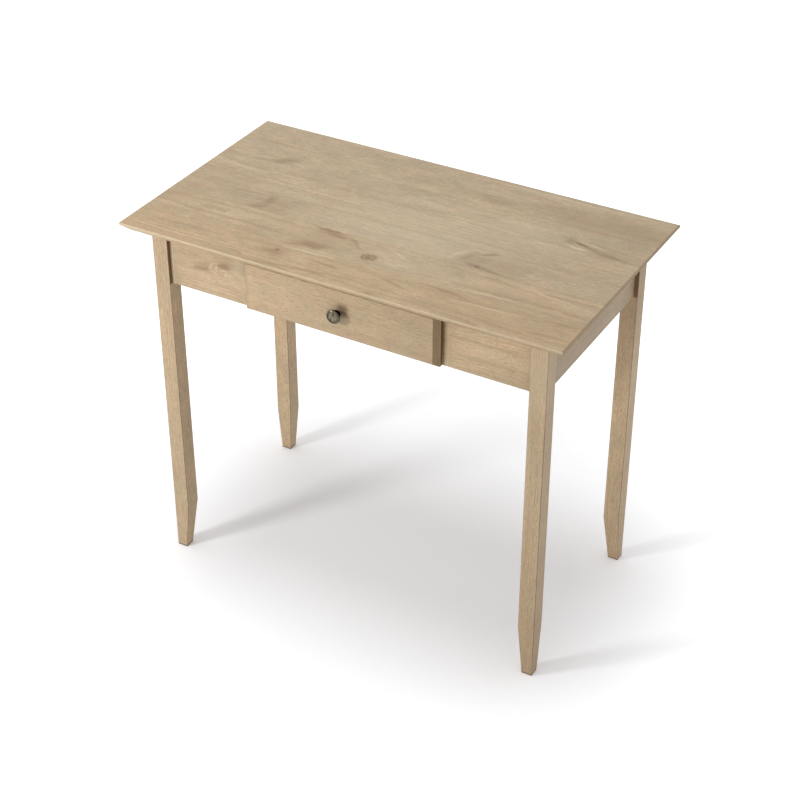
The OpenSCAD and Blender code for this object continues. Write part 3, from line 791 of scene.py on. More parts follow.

# %% [markdown]
# ## Painted shade and light in boxes
# Shade is painted in corners, along ledges, in gaps and where a proud part casts a shadow, and
# light is painted over some cast shadows and on a lit edge. A few boxes only make the wood
# darker or greyer. Each is a box with soft edges on the desk, with a colour of its own.

# %% Shade and light boxes
def box_nearness(tree, point, low, high, soft):
    """1 inside the box from low to high, falling to 0 at soft metres outside it. The distance
    outside is the length of max(|p - centre| - half, 0)."""
    middle = tuple((a + b) / 2 for a, b in zip(low, high))
    half = tuple((b - a) / 2 for a, b in zip(low, high))
    off = vector(tree, "ABSOLUTE", vector(tree, "SUBTRACT", point, middle))
    off = vector(tree, "MAXIMUM", vector(tree, "SUBTRACT", off, half), (0, 0, 0))
    return remap(tree, vector(tree, "LENGTH", off), (0.0, soft), (1.0, 0.0), "SMOOTHSTEP")


def box_layers(tree, point, toned_boxes):
    """A layer (mask, colour, blend) for each toned box."""
    layers = []
    for box in toned_boxes:
        near = box_nearness(tree, point, box["low"], box["high"], box["soft"])
        mask = calc(tree, "MULTIPLY", near, box["strength"])
        layers.append((mask, linear(box["tone"]), "MIX"))
    return layers


# The painted shade's colour in linear light.
print("gathered stain is", [round(c, 3) for c in linear(PAINTED_SHADE)[:3]], "in linear light")

# %% [markdown]
# ## The whole pine material
# The ring colours come first, then everything that shades them, and then the marks, one layer
# over the other. Ends of boards drink more stain, because the cut fibres stand open, and show
# the rings edge on as fine lines. Summer wood stands a little proud after sanding and the ducts
# are pits, which the bump follows, and the lacquer is duller where the fibres are open.

# %% Pine
HUE_RANGE = (0.36, 0.64)
DUCT_RANGE = (0.66, 0.76)
DUCT_DARK = 0.4
END_RANGE = (0.35, 0.75)            # how squarely a face looks along the grain
END_DARK = 0.6
END_LINE = (1.1, 0.45)              # contrast and darkest shade of the lines on an end
HALF_WIDTH = 0.45                   # metres
SWINGS = {"clouds": 0.62, "bands": 0.36, "fibres": 0.44, "specks": 0.32}
RELIEF = (0.14 * MM, 0.4)           # how deep, and how strongly it shows
PROUD, PIT = 0.5, -0.4              # of summer wood and ducts, against the fibres
GLOSS_SWING = 0.2
LACQUER_IOR = 1.5
SATIN = 0.3


def pine(name, grain, centre, pith, seed, ring_mm=4.5, colours=(PALE, RING, DARK, KNOT),
         knots=(), streaks_light_and_shade=(), rings=1.0, wave=(14, 26), rough=0.52, mottle=1.0, fibres=1.0,
         painted_light=(1.0, 1.0), toned_boxes=(), arris_tone=PALE, arris_depth=0.7):
    """Pine as a trunk of wavy rings. grain names the axes along, across and into the board;
    pith is the trunk's middle, across and into the board, from its centre, in millimetres.
    knots are (along, across, length, width, turn, swell); streaks_light_and_shade the same with a
    depth, which is negative for a pale one; the broad ones on the top are painted light and shade.
    rings, mottle and fibres scale the strength of the rings, the clouds and the fibres.
    painted_light is the painted light and shade at the desk's left and right end. toned_boxes
    lists boxes of painted shade, painted light and darker or greyer tone."""
    material, tree = new_material(name)
    order = ["XYZ".index(axis) for axis in grain]
    point, desk_x, place, apart = board_place(tree, order, centre, seed)
    bent, radius = wandered(tree, place, apart, wave, pith)
    radius, masks = marks_in_wood(tree, place, apart, radius, knots, streaks_light_and_shade)
    noise = patterns(tree, apart, bent)
    summer, spring = years(tree, radius, ring_mm, rings, noise, masks["beside"])

    ducts = remap(tree, noise["ducts"], DUCT_RANGE)
    facing = add(tree, "SeparateXYZ", {0: add(tree, "TexCoord").outputs["Normal"]})
    end = calc(tree, "ABSOLUTE", facing.outputs[order[0]])
    end = remap(tree, end, END_RANGE, (0.0, END_DARK), "SMOOTHSTEP")
    end_lines = calc(tree, "MULTIPLY_ADD", noise["end_lines"], *END_LINE)
    # Painted light and shade, changing evenly from the desk's left end to its right.
    painted_across = remap(tree, desk_x, (-HALF_WIDTH, HALF_WIDTH), painted_light)

    # Shades multiply the ring colours.
    pale, ring, dark, knot = (linear(c) for c in colours)
    colour = mix(tree, summer, pale, ring)
    hue = remap(tree, noise["hue"], HUE_RANGE)
    shades = [mix(tree, hue, (*COOL, 1), (*WARM, 1)), painted_across, spring]
    for pattern, strength in zip(SWINGS, (mottle, mottle, fibres, fibres)):
        swing = SWINGS[pattern] * strength
        shades.append(calc(tree, "MULTIPLY_ADD", noise[pattern], swing, 1 - swing / 2))
    layers = [(1.0, shade, "MULTIPLY") for shade in shades]

    # Marks, ends, arrises and the toned boxes lie over them. Pale arrises are partly worn and partly
    # a painted highlight; most boxes are painted shade or painted light.
    dotted = calc(tree, "MULTIPLY", ducts, DUCT_DARK)
    layers.append((strongest(tree, [dotted, end, *masks["streaks_light_and_shade"]]), dark, "MIX"))
    if masks["glints"]:
        layers.append((strongest(tree, masks["glints"]), linear(GLINT), "MIX"))
    layers.append((end, end_lines, "MULTIPLY"))
    if masks["knots"]:
        layers.append((strongest(tree, masks["knots"]), knot, "MIX"))
    eased = add(tree, "Attribute", attribute_name="arris").outputs["Fac"]
    eased = calc(tree, "MULTIPLY", eased, arris_depth, use_clamp=True)
    toned = mix(tree, 1.0, linear(arris_tone), painted_across, "MULTIPLY")
    layers += [(eased, toned, "MIX"), *box_layers(tree, point, toned_boxes)]
    for mask, tone, blend in layers:
        colour = mix(tree, mask, colour, tone, blend)

    relief = noise["fibres"]
    for height, share in ((summer, PROUD), (ducts, PIT)):
        relief = calc(tree, "MULTIPLY_ADD", height, share, relief)
    gloss = calc(tree, "MULTIPLY_ADD", noise["fibres"], GLOSS_SWING, rough - GLOSS_SWING / 2)
    surface(tree, {"Base Color": colour, "Roughness": gloss, "IOR": LACQUER_IOR,
                   "Specular IOR Level": SATIN}, (relief, *RELIEF))
    return material


print("pine's shades swing by", SWINGS)

# %% [markdown]
# ## The six boards of the top
# Each board was cut from its own place in a trunk. Places of knots, streaks and glints are given
# in millimetres on the desk, x to the right and y to the back, and moved to the board's middle.
# The broad pale ovals round the middle of the top are painted light, and the broad dark ones near
# x = -400 painted shade, so that the top is lightest in its middle.

# %% Top boards' wood
# The top is painted a little lighter at its left end, towards the lamp, than at its right.
TOP_PAINTED_LIGHT = (0.95, 0.905)
# The top's arrises are pale, partly worn and partly a painted highlight.
TOP_ARRIS = "#e9d8b8"
END_SHADE = "#8a7357"
WARM_BOARD = ("#b19472", "#947558", KNOT)
TOP_BOARDS = {
    "top_board_1": dict(
        pith=(-38, -60), seed=1.3, ring_mm=5.5, rings=0.8, colours=("#ccb390", *WARM_BOARD),
        knots=[(-141, -191, 11, 9, 0, 3)],
        streaks_light_and_shade=[
            (-148, -200, 66, 24, 0, 0.5), (-38, -195, 70, 8, -4, 0.5), (-72, -232, 200, 9, 8, 0.4),
            (100, -194, 80, 9, -14, 0.45), (190, -172, 110, 8, -6, 0.45),
            (420, -172, 90, 12, 6, 0.45), (400, -218, 100, 14, 4, 0.4),
            (-190, -183, 130, 12, 3, 0.3), (-330, -196, 180, 8, 2, 0.3), (74, -244, 30, 9, 10, 0.4),
            (-90, -172, 120, 7, 2, -0.5), (290, -186, 160, 8, 4, -0.3),
            (320, -206, 340, 90, 0, 0.17)]),
    "top_board_2": dict(
        pith=(6, -34), seed=2.9, ring_mm=4.6, colours=("#cbb493", *WARM_BOARD),
        knots=[(15, -135, 33, 23, 10, 15)],
        streaks_light_and_shade=[
            (-90, -86, 84, 13, -4, 0.8), (-74, -94, 66, 24, -12, 0.65),
            (-30, -105, 66, 14, -38, 0.6), (-66, -112, 120, 60, -8, 0.36),
            (-90, -145, 100, 27, 8, 0.7), (-128, -160, 56, 12, 20, 0.45),
            (-80, -76, 150, 5, -2, -0.5), (-84, -164, 110, 6, 4, -0.45), (60, -150, 170, 7, 4, 0.3),
            (-110, -166, 90, 6, 2, -0.5), (64, -104, 80, 10, -22, -0.45),
            (78, -134, 60, 9, 20, -0.4), (-70, -78, 130, 5, -1, -0.45),
            (240, -150, 180, 6, 6, -0.4), (340, -100, 160, 6, -6, -0.4),
            (-300, -132, 260, 6, 0, 0.25), (340, -136, 300, 80, 0, 0.13),
            (60, -126, 300, 110, 0, -0.2), (-400, -100, 200, 110, 0, 0.16)]),
    "top_board_3": dict(
        pith=(3, -30), seed=4.1, ring_mm=5.0, rings=0.85, knots=[(198, -71, 9, 8, 0, 7)],
        streaks_light_and_shade=[
            (206, -17, 108, 12, 28, 0.8), (166, -48, 62, 26, 64, 0.66),
            (192, -68, 84, 20, -12, 0.7), (222, -75, 100, 10, -3, 0.65),
            (184, -50, 84, 52, 14, 0.46), (214, -52, 120, 76, 0, 0.24), (146, -46, 70, 9, 66, -0.5),
            (172, -8, 80, 6, 16, -0.4), (184, -10, 90, 6, 26, -0.5), (160, -76, 90, 6, -4, 0.35),
            (-254, -44, 28, 66, 0, 0.55), (-264, -70, 62, 30, 24, 0.6),
            (-244, -56, 110, 80, 0, 0.28), (280, -34, 150, 30, 0, 0.18), (-200, 2, 300, 7, 0, 0.3),
            (-340, -30, 160, 12, 2, 0.3), (90, -6, 200, 6, 4, -0.3), (300, -10, 220, 5, 0, 0.3),
            (40, -34, 420, 150, 0, -0.24), (-400, -30, 220, 120, 0, 0.18)]),
    "top_board_4": dict(
        pith=(70, -26), seed=5.6, ring_mm=6.5, rings=0.8,
        streaks_light_and_shade=[
            (60, 52, 240, 8, 0, -0.35), (-280, 18, 260, 7, 0, 0.25), (40, 22, 420, 130, 0, -0.22),
            (190, 22, 200, 6, 0, -0.3), (-12, 68, 60, 26, 0, 0.2), (140, 10, 300, 5, 0, 0.28),
            (-380, 54, 120, 12, -4, -0.3), (-400, 20, 200, 100, 0, 0.18),
            (200, 60, 240, 70, 0, -0.2)]),
    "top_board_5": dict(
        pith=(-16, -42), seed=7.2, ring_mm=5.0, rings=0.7, knots=[(322, 93, 26, 7, -12, 7)],
        streaks_light_and_shade=[
            (336, 90, 74, 13, -14, 0.7), (384, 77, 100, 18, -8, 0.65), (304, 98, 20, 34, 20, 0.5),
            (322, 78, 50, 8, -10, -0.6), (374, 84, 130, 44, -8, 0.25), (40, 100, 380, 90, 0, -0.12),
            (350, 98, 60, 6, -12, -0.4), (-320, 112, 70, 24, 28, 0.5), (-366, 96, 70, 8, 6, 0.4),
            (200, 92, 220, 80, 0, -0.2), (-120, 120, 160, 40, 0, -0.1), (400, 100, 110, 8, -4, 0.3)]),
    "top_board_6": dict(
        pith=(24, -38), seed=8.8, ring_mm=5.4, rings=0.7,
        streaks_light_and_shade=[
            (340, 184, 380, 80, 0, 0.36), (400, 196, 200, 60, 0, 0.22),
            (240, 190, 160, 60, 0, 0.25), (110, 172, 150, 40, -4, 0.3), (330, 150, 280, 7, 0, 0.42),
            (-40, 180, 90, 40, 0, 0.16), (250, 236, 380, 8, 0, -0.3), (-360, 173, 180, 6, 0, 0.35)])}

# Light is painted on the top's front land, which faces the lamp, and shade on the arris of the right
# end, which faces away from it.
END_DEEP, END_HIGH = 3 * MM, 0.5 * MM
painted_light_land = dict(low=(top_low.x, top_low.y, top_high.z - TOP_LAND),
                  high=(top_high.x, top_low.y, top_high.z), soft=1 * MM, strength=0.35,
                  tone=TOP_ARRIS)
painted_shade_end = dict(low=(top_high.x - END_DEEP, top_low.y, top_high.z - END_HIGH),
                 high=tuple(top_high), soft=1 * MM, strength=0.55, tone=END_SHADE)
for node, wood in TOP_BOARDS.items():
    middle = centre_of(node)
    wood = dict(wood)
    for marks in ("knots", "streaks_light_and_shade"):
        wood[marks] = [(x - middle[0] / MM, y - middle[1] / MM, *rest)
                       for x, y, *rest in wood.get(marks, [])]
    toned_boxes = [painted_light_land, painted_shade_end] if node == top_nodes[0] else [painted_shade_end]
    material = pine("driftwood_stained_pine_" + node, "XYZ", middle, painted_light=TOP_PAINTED_LIGHT,
                    arris_tone=TOP_ARRIS, fibres=1.4, toned_boxes=toned_boxes, **wood)
    stand_for(top_pieces[node], node, "frame", material)
print("top boards finished:", len(TOP_BOARDS))

# %% [markdown]
# ## Legs' wood
# The same wood stands upright in the legs, runs along the desk in the front and back aprons and
# the drawer front, and runs front to back in the side aprons. On the legs shade is painted where
# they stand proud of the aprons, and in a thin rim round the feet, where they stand on the floor.
# The two on the right are darker towards the foot. Higher up, the front one carries painted light
# over the shade under the desk's top, and the back one a painted shadow of the desk.

# %% Legs' wood
LEG_TONES = ("#c7af8f", "#a98e6c", "#8f7555", KNOT)
APRON_TONES = ("#cdb593", "#b39877", DARK, KNOT)
SIDE_TONES = ("#c5af8f", "#ac9374", DARK, KNOT)
LEG_ARRIS = "#755c40"
# Painted light on the front right leg's upper end, over the shade under the desk's top.
LEG_PAINTED_LIGHT = "#dcc6a4"
LEDGE_SHADE = "#6e4f2d"                   # painted shade on a leg where it stands proud of an apron
# A thin rim of painted shade round each foot, where it stands on the floor.
FOOT_CONTACT_SHADE = "#50432c"
RIM = 2 * MM
FOOT_HIGH = 60 * MM                 # the darker foot of a right-hand leg
FOOT_FADE = 450 * MM                # how far it fades upwards
UPPER_FADE = 160 * MM                  # how far the upper end's painted light (front leg) and painted shadow (back leg) fade downwards
UPPER_FROM = 60 * MM                    # where that begins on the front leg, above the apron's edge

# For each leg: the pith, the seed and the shade, which is painted light: the back legs are painted
# lighter for the light that reaches them.
LEGS = {"leg_back_left": ((30, -24), 11.0, 1.16), "leg_back_right": ((-26, -30), 12.7, 1.22),
        "leg_front_left": ((34, 28), 14.4, 1.02), "leg_front_right": ((-30, 26), 16.1, 1.04)}

apron_low, apron_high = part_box("front_apron")
side_low, side_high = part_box("side_apron_right")
for node, (pith, seed, shade) in LEGS.items():
    leg_low, leg_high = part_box(node)
    right, back = leg_low.x > 0, leg_low.y > 0
    inner_x = leg_low.x if right else leg_high.x
    inner_y = leg_low.y if back else leg_high.y
    ledge_y = sorted([leg_high.y if back else leg_low.y, -apron_low.y if back else apron_low.y])
    ledge_x = sorted([leg_high.x if right else leg_low.x, side_high.x if right else -side_high.x])
    # Painted shade on the leg's ledges beside the aprons, and round its foot on the floor.
    recess_shade = dict(soft=0.8 * MM, strength=0.9, tone=LEDGE_SHADE)
    toned_boxes = [dict(recess_shade, low=(inner_x, ledge_y[0], apron_low.z),
                     high=(inner_x, ledge_y[1], apron_high.z)),
                dict(recess_shade, low=(ledge_x[0], inner_y, apron_low.z),
                     high=(ledge_x[1], inner_y, apron_high.z)),
                dict(low=tuple(leg_low), high=(leg_high.x, leg_high.y, RIM), soft=RIM,
                     strength=0.85, tone=FOOT_CONTACT_SHADE)]
    # Right legs: darker towards the foot; higher up, painted light on the front one and a painted
    # shadow of the desk on the back one.
    if right:
        upper_from = apron_low.z + (0 if back else UPPER_FROM)
        toned_boxes += [dict(low=(leg_low.x, leg_low.y, 0.0), high=(leg_high.x, leg_high.y, FOOT_HIGH),
                          soft=FOOT_FADE, strength=0.2, tone=DARK),
                     dict(low=(leg_low.x, leg_low.y, upper_from), high=tuple(leg_high), soft=UPPER_FADE,
                          strength=0.35, tone=DARK if back else LEG_PAINTED_LIGHT)]
    material = pine("driftwood_stained_pine_" + node, "ZXY", centre_of(node), pith=pith,
                    seed=seed, ring_mm=4.0, colours=LEG_TONES, wave=(8, 12), rings=0.7,
                    mottle=0.8, fibres=1.6, painted_light=(shade, shade), toned_boxes=toned_boxes,
                    arris_tone=LEG_ARRIS, arris_depth=1.5)
    stand_for(leg_pieces[node], node, "frame", material)
print("legs finished:", len(LEGS))

# %% [markdown]
# ## Aprons' wood
# Shade is painted on the front apron close to the right end of the drawer front, where the
# drawer front's shadow falls. A little further along, and beside the left leg, light is painted
# over the cast shadows of the drawer front and the leg. The right side apron is greyer towards
# the front.

# %% Aprons' wood
SHADOW_LIFT_RIGHT, SHADOW_LIFT_LEFT = "#f6dcb4", "#f4e6cc"
SHADOW_LIFT_WIDE = 5 * MM
GREYER = "#907f68"
GREYER_FROM = -20 * MM              # y on the desk, where the greyer end begins
SHADE_FROM, SHADE_TO = 1.5 * MM, 2.5 * MM    # from the drawer front's right end
LIFT_FROM, LIFT_TO = 6.5 * MM, 10 * MM

# Painted shade where the drawer front's shadow falls, then painted light over the rest of that shadow
# and over the left leg's shadow.
painted_shade_right = dict(low=(front_high.x + SHADE_FROM, apron_low.y, front_low.z),
                    high=(front_high.x + SHADE_TO, apron_low.y, front_high.z), soft=3 * MM,
                    strength=0.42, tone=PAINTED_SHADE)
painted_light_right = dict(low=(front_high.x + LIFT_FROM, apron_low.y, front_low.z),
                   high=(front_high.x + LIFT_TO, apron_low.y, front_high.z), soft=4 * MM,
                   strength=0.62, tone=SHADOW_LIFT_RIGHT)
leg_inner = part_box("leg_front_left")[1].x
painted_light_left = dict(low=(leg_inner, apron_low.y, apron_low.z),
                  high=(leg_inner + SHADOW_LIFT_WIDE, apron_low.y, apron_high.z), soft=2 * MM,
                  strength=0.6, tone=SHADOW_LIFT_LEFT)
near_end = dict(low=tuple(side_low), high=(side_high.x, GREYER_FROM, side_high.z), soft=120 * MM,
                strength=0.28, tone=GREYER)

FRAME_BOARDS = {
    "front_apron": dict(
        grain="XZY", slot="stained_pine_aprons", pith=(-10, 46), seed=21.0, painted_light=(0.98, 1.06),
        mottle=0.8, fibres=1.5, toned_boxes=[painted_shade_right, painted_light_right, painted_light_left],
        streaks_light_and_shade=[
            (-304, -5, 66, 16, 12, 0.65), (-296, 5, 60, 16, 6, 0.5), (-256, 12, 48, 18, 2, 0.75),
            (-276, 4, 120, 46, 8, 0.3), (-284, 5, 18, 5, 64, -0.45), (-278, -6, 24, 4, -24, -0.4),
            (-271, 4, 18, 5, 70, -0.45), (-270, 14, 20, 4, 12, -0.35), (-254, 2, 30, 4, 10, -0.4),
            (-249, -6, 16, 5, 66, -0.4), (-240, -4, 17, 5, 74, -0.4), (-234, 9, 24, 4, 0, -0.3),
            # The pale oval at x = -220 below is painted light over the shade beside the drawer
            # front's left end.
            (-220, 22, 36, 60, 0, -0.4), (-330, 20, 90, 40, 0, 0.25), (280, 10, 200, 7, 0, 0.3),
            (300, -24, 170, 9, 0, 0.25)]),
    "back_apron": dict(
        grain="XZY", slot="stained_pine_aprons", pith=(14, -44), seed=22.3,
        knots=[(170, -14, 22, 15, 10, 8)]),
    "side_apron_left": dict(
        grain="YZX", slot="stained_pine_side_aprons", pith=(-20, 40), seed=23.9, colours=SIDE_TONES),
    "side_apron_right": dict(
        grain="YZX", slot="stained_pine_side_aprons", pith=(22, -40), seed=25.1, colours=SIDE_TONES,
        toned_boxes=[near_end])}
for node, wood in FRAME_BOARDS.items():
    wood = {"colours": APRON_TONES, "fibres": 1.3, **wood}
    slot = wood.pop("slot")
    material = pine("driftwood_stained_pine_" + node, centre=centre_of(node), ring_mm=5.0,
                    rings=0.7, **wood)
    stand_for(eased_pieces[node], node, "frame", material)
print("aprons finished:", len(FRAME_BOARDS))

# %% [markdown]
# ## Drawer front's wood
# Shade is painted on the drawer front's land, deep in its opening, along its top under the desk's
# top, along its left edge, and to the right of and above the knob, round its foot. Along its lower
# edge it is a little darker.

# %% Drawer front's wood
# The drawer front's arrises are pale, partly worn and partly a painted highlight.
FRONT_ARRIS = "#dac6a4"
LAND = 4 * MM
TOP_STRIP = 8 * MM
KNOB_SHADOW = ((8 * MM, 4 * MM), (16 * MM, 14 * MM))    # right of and above the knob's axis

# Painted shade on the land, under the desk's top and along the left edge; the lower edge is only a
# little darker.
whole = dict(low=tuple(front_low), high=tuple(front_high))
land_shade = dict(whole, low=(front_low.x, front_high.y - LAND, front_low.z), soft=LAND,
             strength=0.85, tone=PAINTED_SHADE)
shade_under_top = dict(whole, low=(front_low.x, front_low.y, front_high.z - TOP_STRIP),
                  soft=1.2 * MM, strength=0.85, tone=PAINTED_SHADE)
lower_edge = dict(whole, high=(front_high.x, front_high.y, front_low.z + FRONT_BEVEL),
                  soft=1.2 * MM, strength=0.3, tone=DARK)
left_edge_shade = dict(whole, high=(front_low.x + FRONT_BEVEL, front_high.y, front_high.z),
                 soft=10 * MM, strength=0.22, tone=DARK)
# Painted shadow of the knob round its foot, right of and above its axis.
knob_shadow = dict(low=(knob_x + KNOB_SHADOW[0][0], front_low.y, knob_z + KNOB_SHADOW[0][1]),
                   high=(knob_x + KNOB_SHADOW[1][0], front_low.y, knob_z + KNOB_SHADOW[1][1]),
                   soft=13 * MM, strength=0.65, tone=PAINTED_SHADE)
# The drawer front is painted lighter at its left end, towards the lamp, than at its right.
front_wood = pine("driftwood_stained_pine_drawer_front", "XZY", centre_of("drawer_front"),
                  pith=(34, 52), seed=27.4, ring_mm=5.2, colours=APRON_TONES, rings=0.6,
                  painted_light=(1.12, 0.76), mottle=0.8, fibres=1.3, arris_tone=FRONT_ARRIS,
                  toned_boxes=[land_shade, shade_under_top, lower_edge, left_edge_shade, knob_shadow])
stand_for(front_piece, "drawer_front", "drawer", front_wood)
print("drawer front is", front_piece.data.materials[0].name)

# %% [markdown]
# ## Bare pine inside
# What doesn't show is left unstained: the corner blocks, the guide rails and the drawer's box
# are planed pine, yellower and a little rougher than the lacquered boards.

# %% Inside wood
BARE = ("#e3c898", "#c99f66", "#a9794a", "#7d4f2c")
INSIDE_GRAIN = {
    "guide_rail_left": ("YZX", "frame"), "guide_rail_right": ("YZX", "frame"),
    "corner_block_front_left": ("ZXY", "frame"), "corner_block_front_right": ("ZXY", "frame"),
    "corner_block_back_left": ("ZXY", "frame"), "corner_block_back_right": ("ZXY", "frame"),
    "box_front": ("XZY", "drawer"), "box_back": ("XZY", "drawer"),
    "box_side_left": ("YZX", "drawer"), "box_side_right": ("YZX", "drawer")}
for i, (node, (grain, body)) in enumerate(INSIDE_GRAIN.items()):
    side = -1 if i % 2 else 1
    material = pine("planed_pine_" + node, grain, centre_of(node), pith=(18 * side, 36),
                    seed=31.0 + 1.9 * i, ring_mm=4.2, colours=BARE, rough=0.62)
    stand_for(eased_pieces[node], node, body, material)
print("inside boards finished:", len(INSIDE_GRAIN))

# %% [markdown]
# ## Birch plywood
# The drawer's bottom is a thin sheet of birch plywood. Its face veneer is peeled off the log
# like paper off a roll, so its figure is broad and pale, with short dark flecks. Its edges,
# where the plies would show, are hidden in their grooves.

# %% Plywood
VENEER, BAND, FLECK = "#e2cba0", "#cfae7c", "#a98456"
BANDS_PER_METRE = (5.0, 26.0, 26.0)
FLECKS_PER_METRE = (60.0, 1100.0, 1100.0)
FLECK_RANGE = (0.62, 0.74)
FLECK_DARK = 0.5
BAND_WARP = 0.8
VENEER_ROUGH = 0.6
VENEER_RELIEF = (0.08 * MM, 0.25)


def plywood():
    """Peeled birch: soft bands of 200 by 38 mm over a pale ground, and flecks 17 mm long."""
    material, tree = new_material("birch_plywood")
    place = add(tree, "TexCoord").outputs["Object"]
    figure = noise_at(tree, place, BANDS_PER_METRE, 3.0, Distortion=BAND_WARP).outputs["Fac"]
    fleck = noise_at(tree, place, FLECKS_PER_METRE, 1.0).outputs["Fac"]
    dark = remap(tree, fleck, FLECK_RANGE, (0.0, FLECK_DARK))
    colour = mix(tree, figure, linear(VENEER), linear(BAND))
    colour = mix(tree, dark, colour, linear(FLECK))
    surface(tree, {"Base Color": colour, "Roughness": VENEER_ROUGH, "IOR": 1.5},
            (fleck, *VENEER_RELIEF))
    return material


def dress(node, material):
    """Gives a CAD node, whose shape is right as it is, its material."""
    nodes[node].data.materials.clear()
    nodes[node].data.materials.append(material)


dress("box_bottom", plywood())
print("box_bottom is", nodes["box_bottom"].data.materials[0].name)

# %% [markdown]
# ## Zinc-plated steel
# Screws, bolts and pins are steel with a thin bright zinc plate: a cool grey metal with a fine
# cloudy spangle and slightly uneven gloss.

# %% Zinc plate
SPANGLE = 2 * MM
ZINC_DARK, ZINC_BRIGHT = "#a9abad", "#cfd0d0"
ZINC_ROUGH = (0.26, 0.46)
ZINC_RELIEF = (0.03 * MM, 0.2)


def zinc_plate():
    """Cool grey metal; a cloudy noise of the spangle's size varies its tone and gloss."""
    material, tree = new_material("zinc_plated_steel")
    place = add(tree, "TexCoord").outputs["Object"]
    cloud = noise_at(tree, place, 1 / SPANGLE, 3.0).outputs["Fac"]
    colour = mix(tree, cloud, linear(ZINC_DARK), linear(ZINC_BRIGHT))
    gloss = remap(tree, cloud, end=ZINC_ROUGH)
    surface(tree, {"Base Color": colour, "Metallic": 1.0, "Roughness": gloss},
            (cloud, *ZINC_RELIEF))
    return material


ZINC_NODES = ["leg_bolts", "leg_washers", "leg_nuts", "block_screws", "top_screws", "rail_screws",
              "frame_track_screws", "frame_roller_pins", "drawer_track_screws",
              "drawer_roller_pins", "front_screws", "knob_screw"]
zinc = zinc_plate()
for node in ZINC_NODES:
    dress(node, zinc)
print("zinc-plated nodes:", len(ZINC_NODES))

# %% [markdown]
# ## Powder-coated steel
# The tracks are rolled steel strip under an off-white epoxy powder coat. The powder melts into
# a skin with a fine orange peel, a little glossier than paint.

# %% Powder coat
PEEL_PER_METRE = 700.0              # an orange peel of about 1.4 mm
CLOUDS_PER_METRE = 22.0
COAT_DARK, COAT_PALE = "#ece9df", "#f3f1ea"
COAT_ROUGH = 0.34
COAT_RELIEF = (0.05 * MM, 0.3)


def powder_coat():
    """Off-white semi-gloss coat: broad faint clouds in its tone, orange peel in its bump."""
    material, tree = new_material("epoxy_powder_coat")
    place = add(tree, "TexCoord").outputs["Object"]
    peel = noise_at(tree, place, PEEL_PER_METRE, 2.0).outputs["Fac"]
    tone = noise_at(tree, place, CLOUDS_PER_METRE, 2.0).outputs["Fac"]
    colour = mix(tree, tone, linear(COAT_DARK), linear(COAT_PALE))
    surface(tree, {"Base Color": colour, "Roughness": COAT_ROUGH, "IOR": 1.5},
            (peel, *COAT_RELIEF))
    return material


coat = powder_coat()
TRACKS = ["frame_track_left", "frame_track_right", "drawer_track_left", "drawer_track_right"]
for node in TRACKS:
    dress(node, coat)
print("coated nodes:", len(TRACKS))

# %% [markdown]
# ## Moulded nylon
# The rollers are injection-moulded nylon: a milky white plastic that lets a little light in,
# with a dull, slightly worn tread.

# %% Nylon
WEAR_PER_METRE = 260.0              # patches of about 4 mm
NYLON_DARK, NYLON_PALE = "#e9e7dd", "#f6f5f0"
NYLON_ROUGH = (0.34, 0.56)
NYLON_MILK = 0.08
NYLON_DEPTHS = (1 * MM, 1 * MM, 0.8 * MM)    # how far red, green and blue light go in


def nylon():
    """Milky white plastic, a touch warm, rubbed duller in small patches."""
    material, tree = new_material("moulded_nylon")
    place = add(tree, "TexCoord").outputs["Object"]
    wear = noise_at(tree, place, WEAR_PER_METRE, 3.0).outputs["Fac"]
    colour = mix(tree, wear, linear(NYLON_DARK), linear(NYLON_PALE))
    gloss = remap(tree, wear, end=NYLON_ROUGH)
    surface(tree, {"Base Color": colour, "Roughness": gloss, "IOR": 1.53,
                   "Subsurface Weight": NYLON_MILK, "Subsurface Radius": NYLON_DEPTHS})
    return material


rollers = nylon()
ROLLERS = ["frame_roller_left", "frame_roller_right", "drawer_roller_left", "drawer_roller_right"]
for node in ROLLERS:
    dress(node, rollers)
print("nylon nodes:", len(ROLLERS))

# %% [markdown]
# ## Antique pewter
# The knob is a zinc casting, plated, darkened with a chemical patina and then rubbed back. The
# patina stays in the hollows and in soft blotches, and the rubbed high spots shine through. A
# painted dark reflection lies on the head's outer edge, and painted shade on the neck under it.

# %% Pewter
RUBBED, PATINA = "#7a7460", "#2e2a22"
BLOTCHES_PER_METRE = 190.0
BLOTCH_STRETCH = (1.5, 1.0, 0.6)    # narrower across the face and longer down it
BLOTCH_RANGE = (0.42, 0.64)
BLOTCH_DARK = 0.75
BLOTCH_ROUGH = 0.55
SPECKS_PER_METRE = 900.0
SPECK_SHADE = (0.3, 0.8)            # contrast and darkest shade
PEWTER_ROUGH = (0.16, 0.42)         # rubbed bright, and under the patina
PEWTER_RELIEF = (0.1 * MM, 0.35)
# How dark the painted shade on the neck, under the head, is.
NECK_SHADE = 0.3
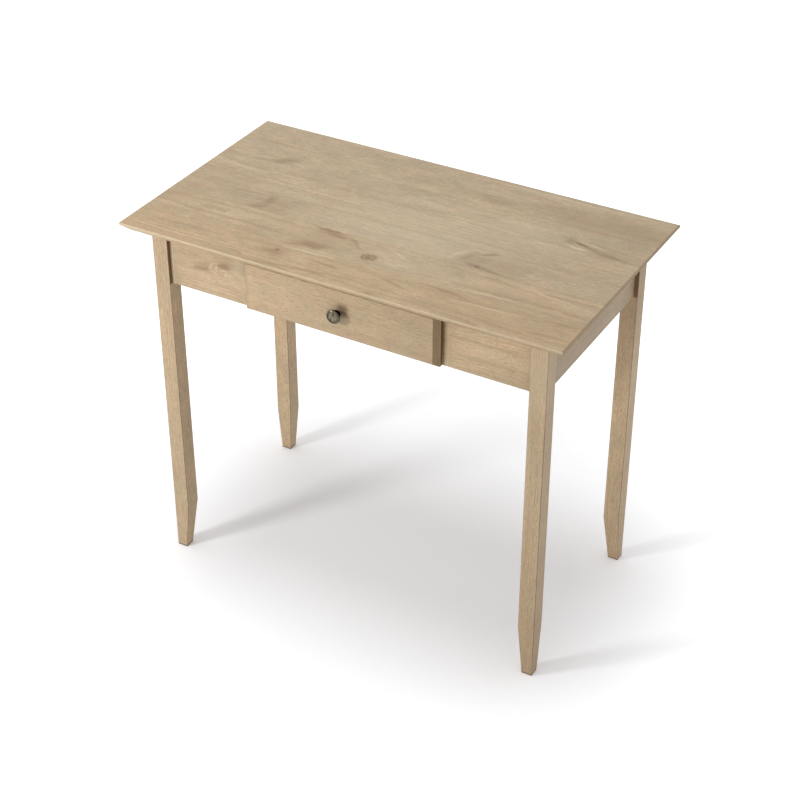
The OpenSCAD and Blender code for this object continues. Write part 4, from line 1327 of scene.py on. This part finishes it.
# The groove's patina, and a painted dark reflection on the head's outer edge.
GROOVE_AND_REFLECTION = [(0.0, 0.15), (0.66, 0.2), (0.77, 0.8), (0.84, 0.0), (0.92, 0.0), (1.0, 0.9)]


def pewter(middle, radius, head_back):
    """Dark patina over grey metal: blotches of about 5 mm drawn out down the face, finer specks,
    a dark ring of patina where the rubbing cloth didn't reach and a painted dark reflection on the
    head's outer edge, both by the distance from the knob's axis, and a near black neck of patina
    and painted shade, by the distance out from the wood."""
    material, tree = new_material("antique_pewter")
    place = vector(tree, "SUBTRACT", add(tree, "TexCoord").outputs["Object"], middle)
    drawn = vector(tree, "MULTIPLY", place, BLOTCH_STRETCH)
    blotch = noise_at(tree, drawn, BLOTCHES_PER_METRE, 3.0, Roughness=BLOTCH_ROUGH).outputs["Fac"]
    speck = noise_at(tree, place, SPECKS_PER_METRE, 2.0).outputs["Fac"]
    flat = vector(tree, "MULTIPLY", place, (1, 0, 1))
    outward = remap(tree, vector(tree, "LENGTH", flat), (0.0, radius))
    groove_and_reflection = add(tree, "ValToRGB", {0: outward}, stops=GROOVE_AND_REFLECTION).outputs[0]
    patina = remap(tree, blotch, BLOTCH_RANGE, (0.0, BLOTCH_DARK), "SMOOTHSTEP")
    out = add(tree, "SeparateXYZ", {0: place}).outputs[1]
    neck = remap(tree, out, (-head_back, -head_back + 2 * MM))
    patina = strongest(tree, [patina, groove_and_reflection, neck])
    colour = mix(tree, patina, linear(RUBBED), linear(PATINA))
    dim = calc(tree, "MULTIPLY_ADD", speck, *SPECK_SHADE)
    # Painted shade on the neck, under the head.
    black = remap(tree, neck, end=(1.0, NECK_SHADE))
    for shade in (dim, black):
        colour = mix(tree, 1.0, colour, shade, "MULTIPLY")
    gloss = remap(tree, patina, end=PEWTER_ROUGH)
    surface(tree, {"Base Color": colour, "Metallic": 1.0, "Roughness": gloss},
            (blotch, *PEWTER_RELIEF))
    return material


stand_for(knob_piece, "knob", "drawer", pewter(tuple(knob_place), knob_r, head_z))
print("knob is", knob_piece.data.materials[0].name)
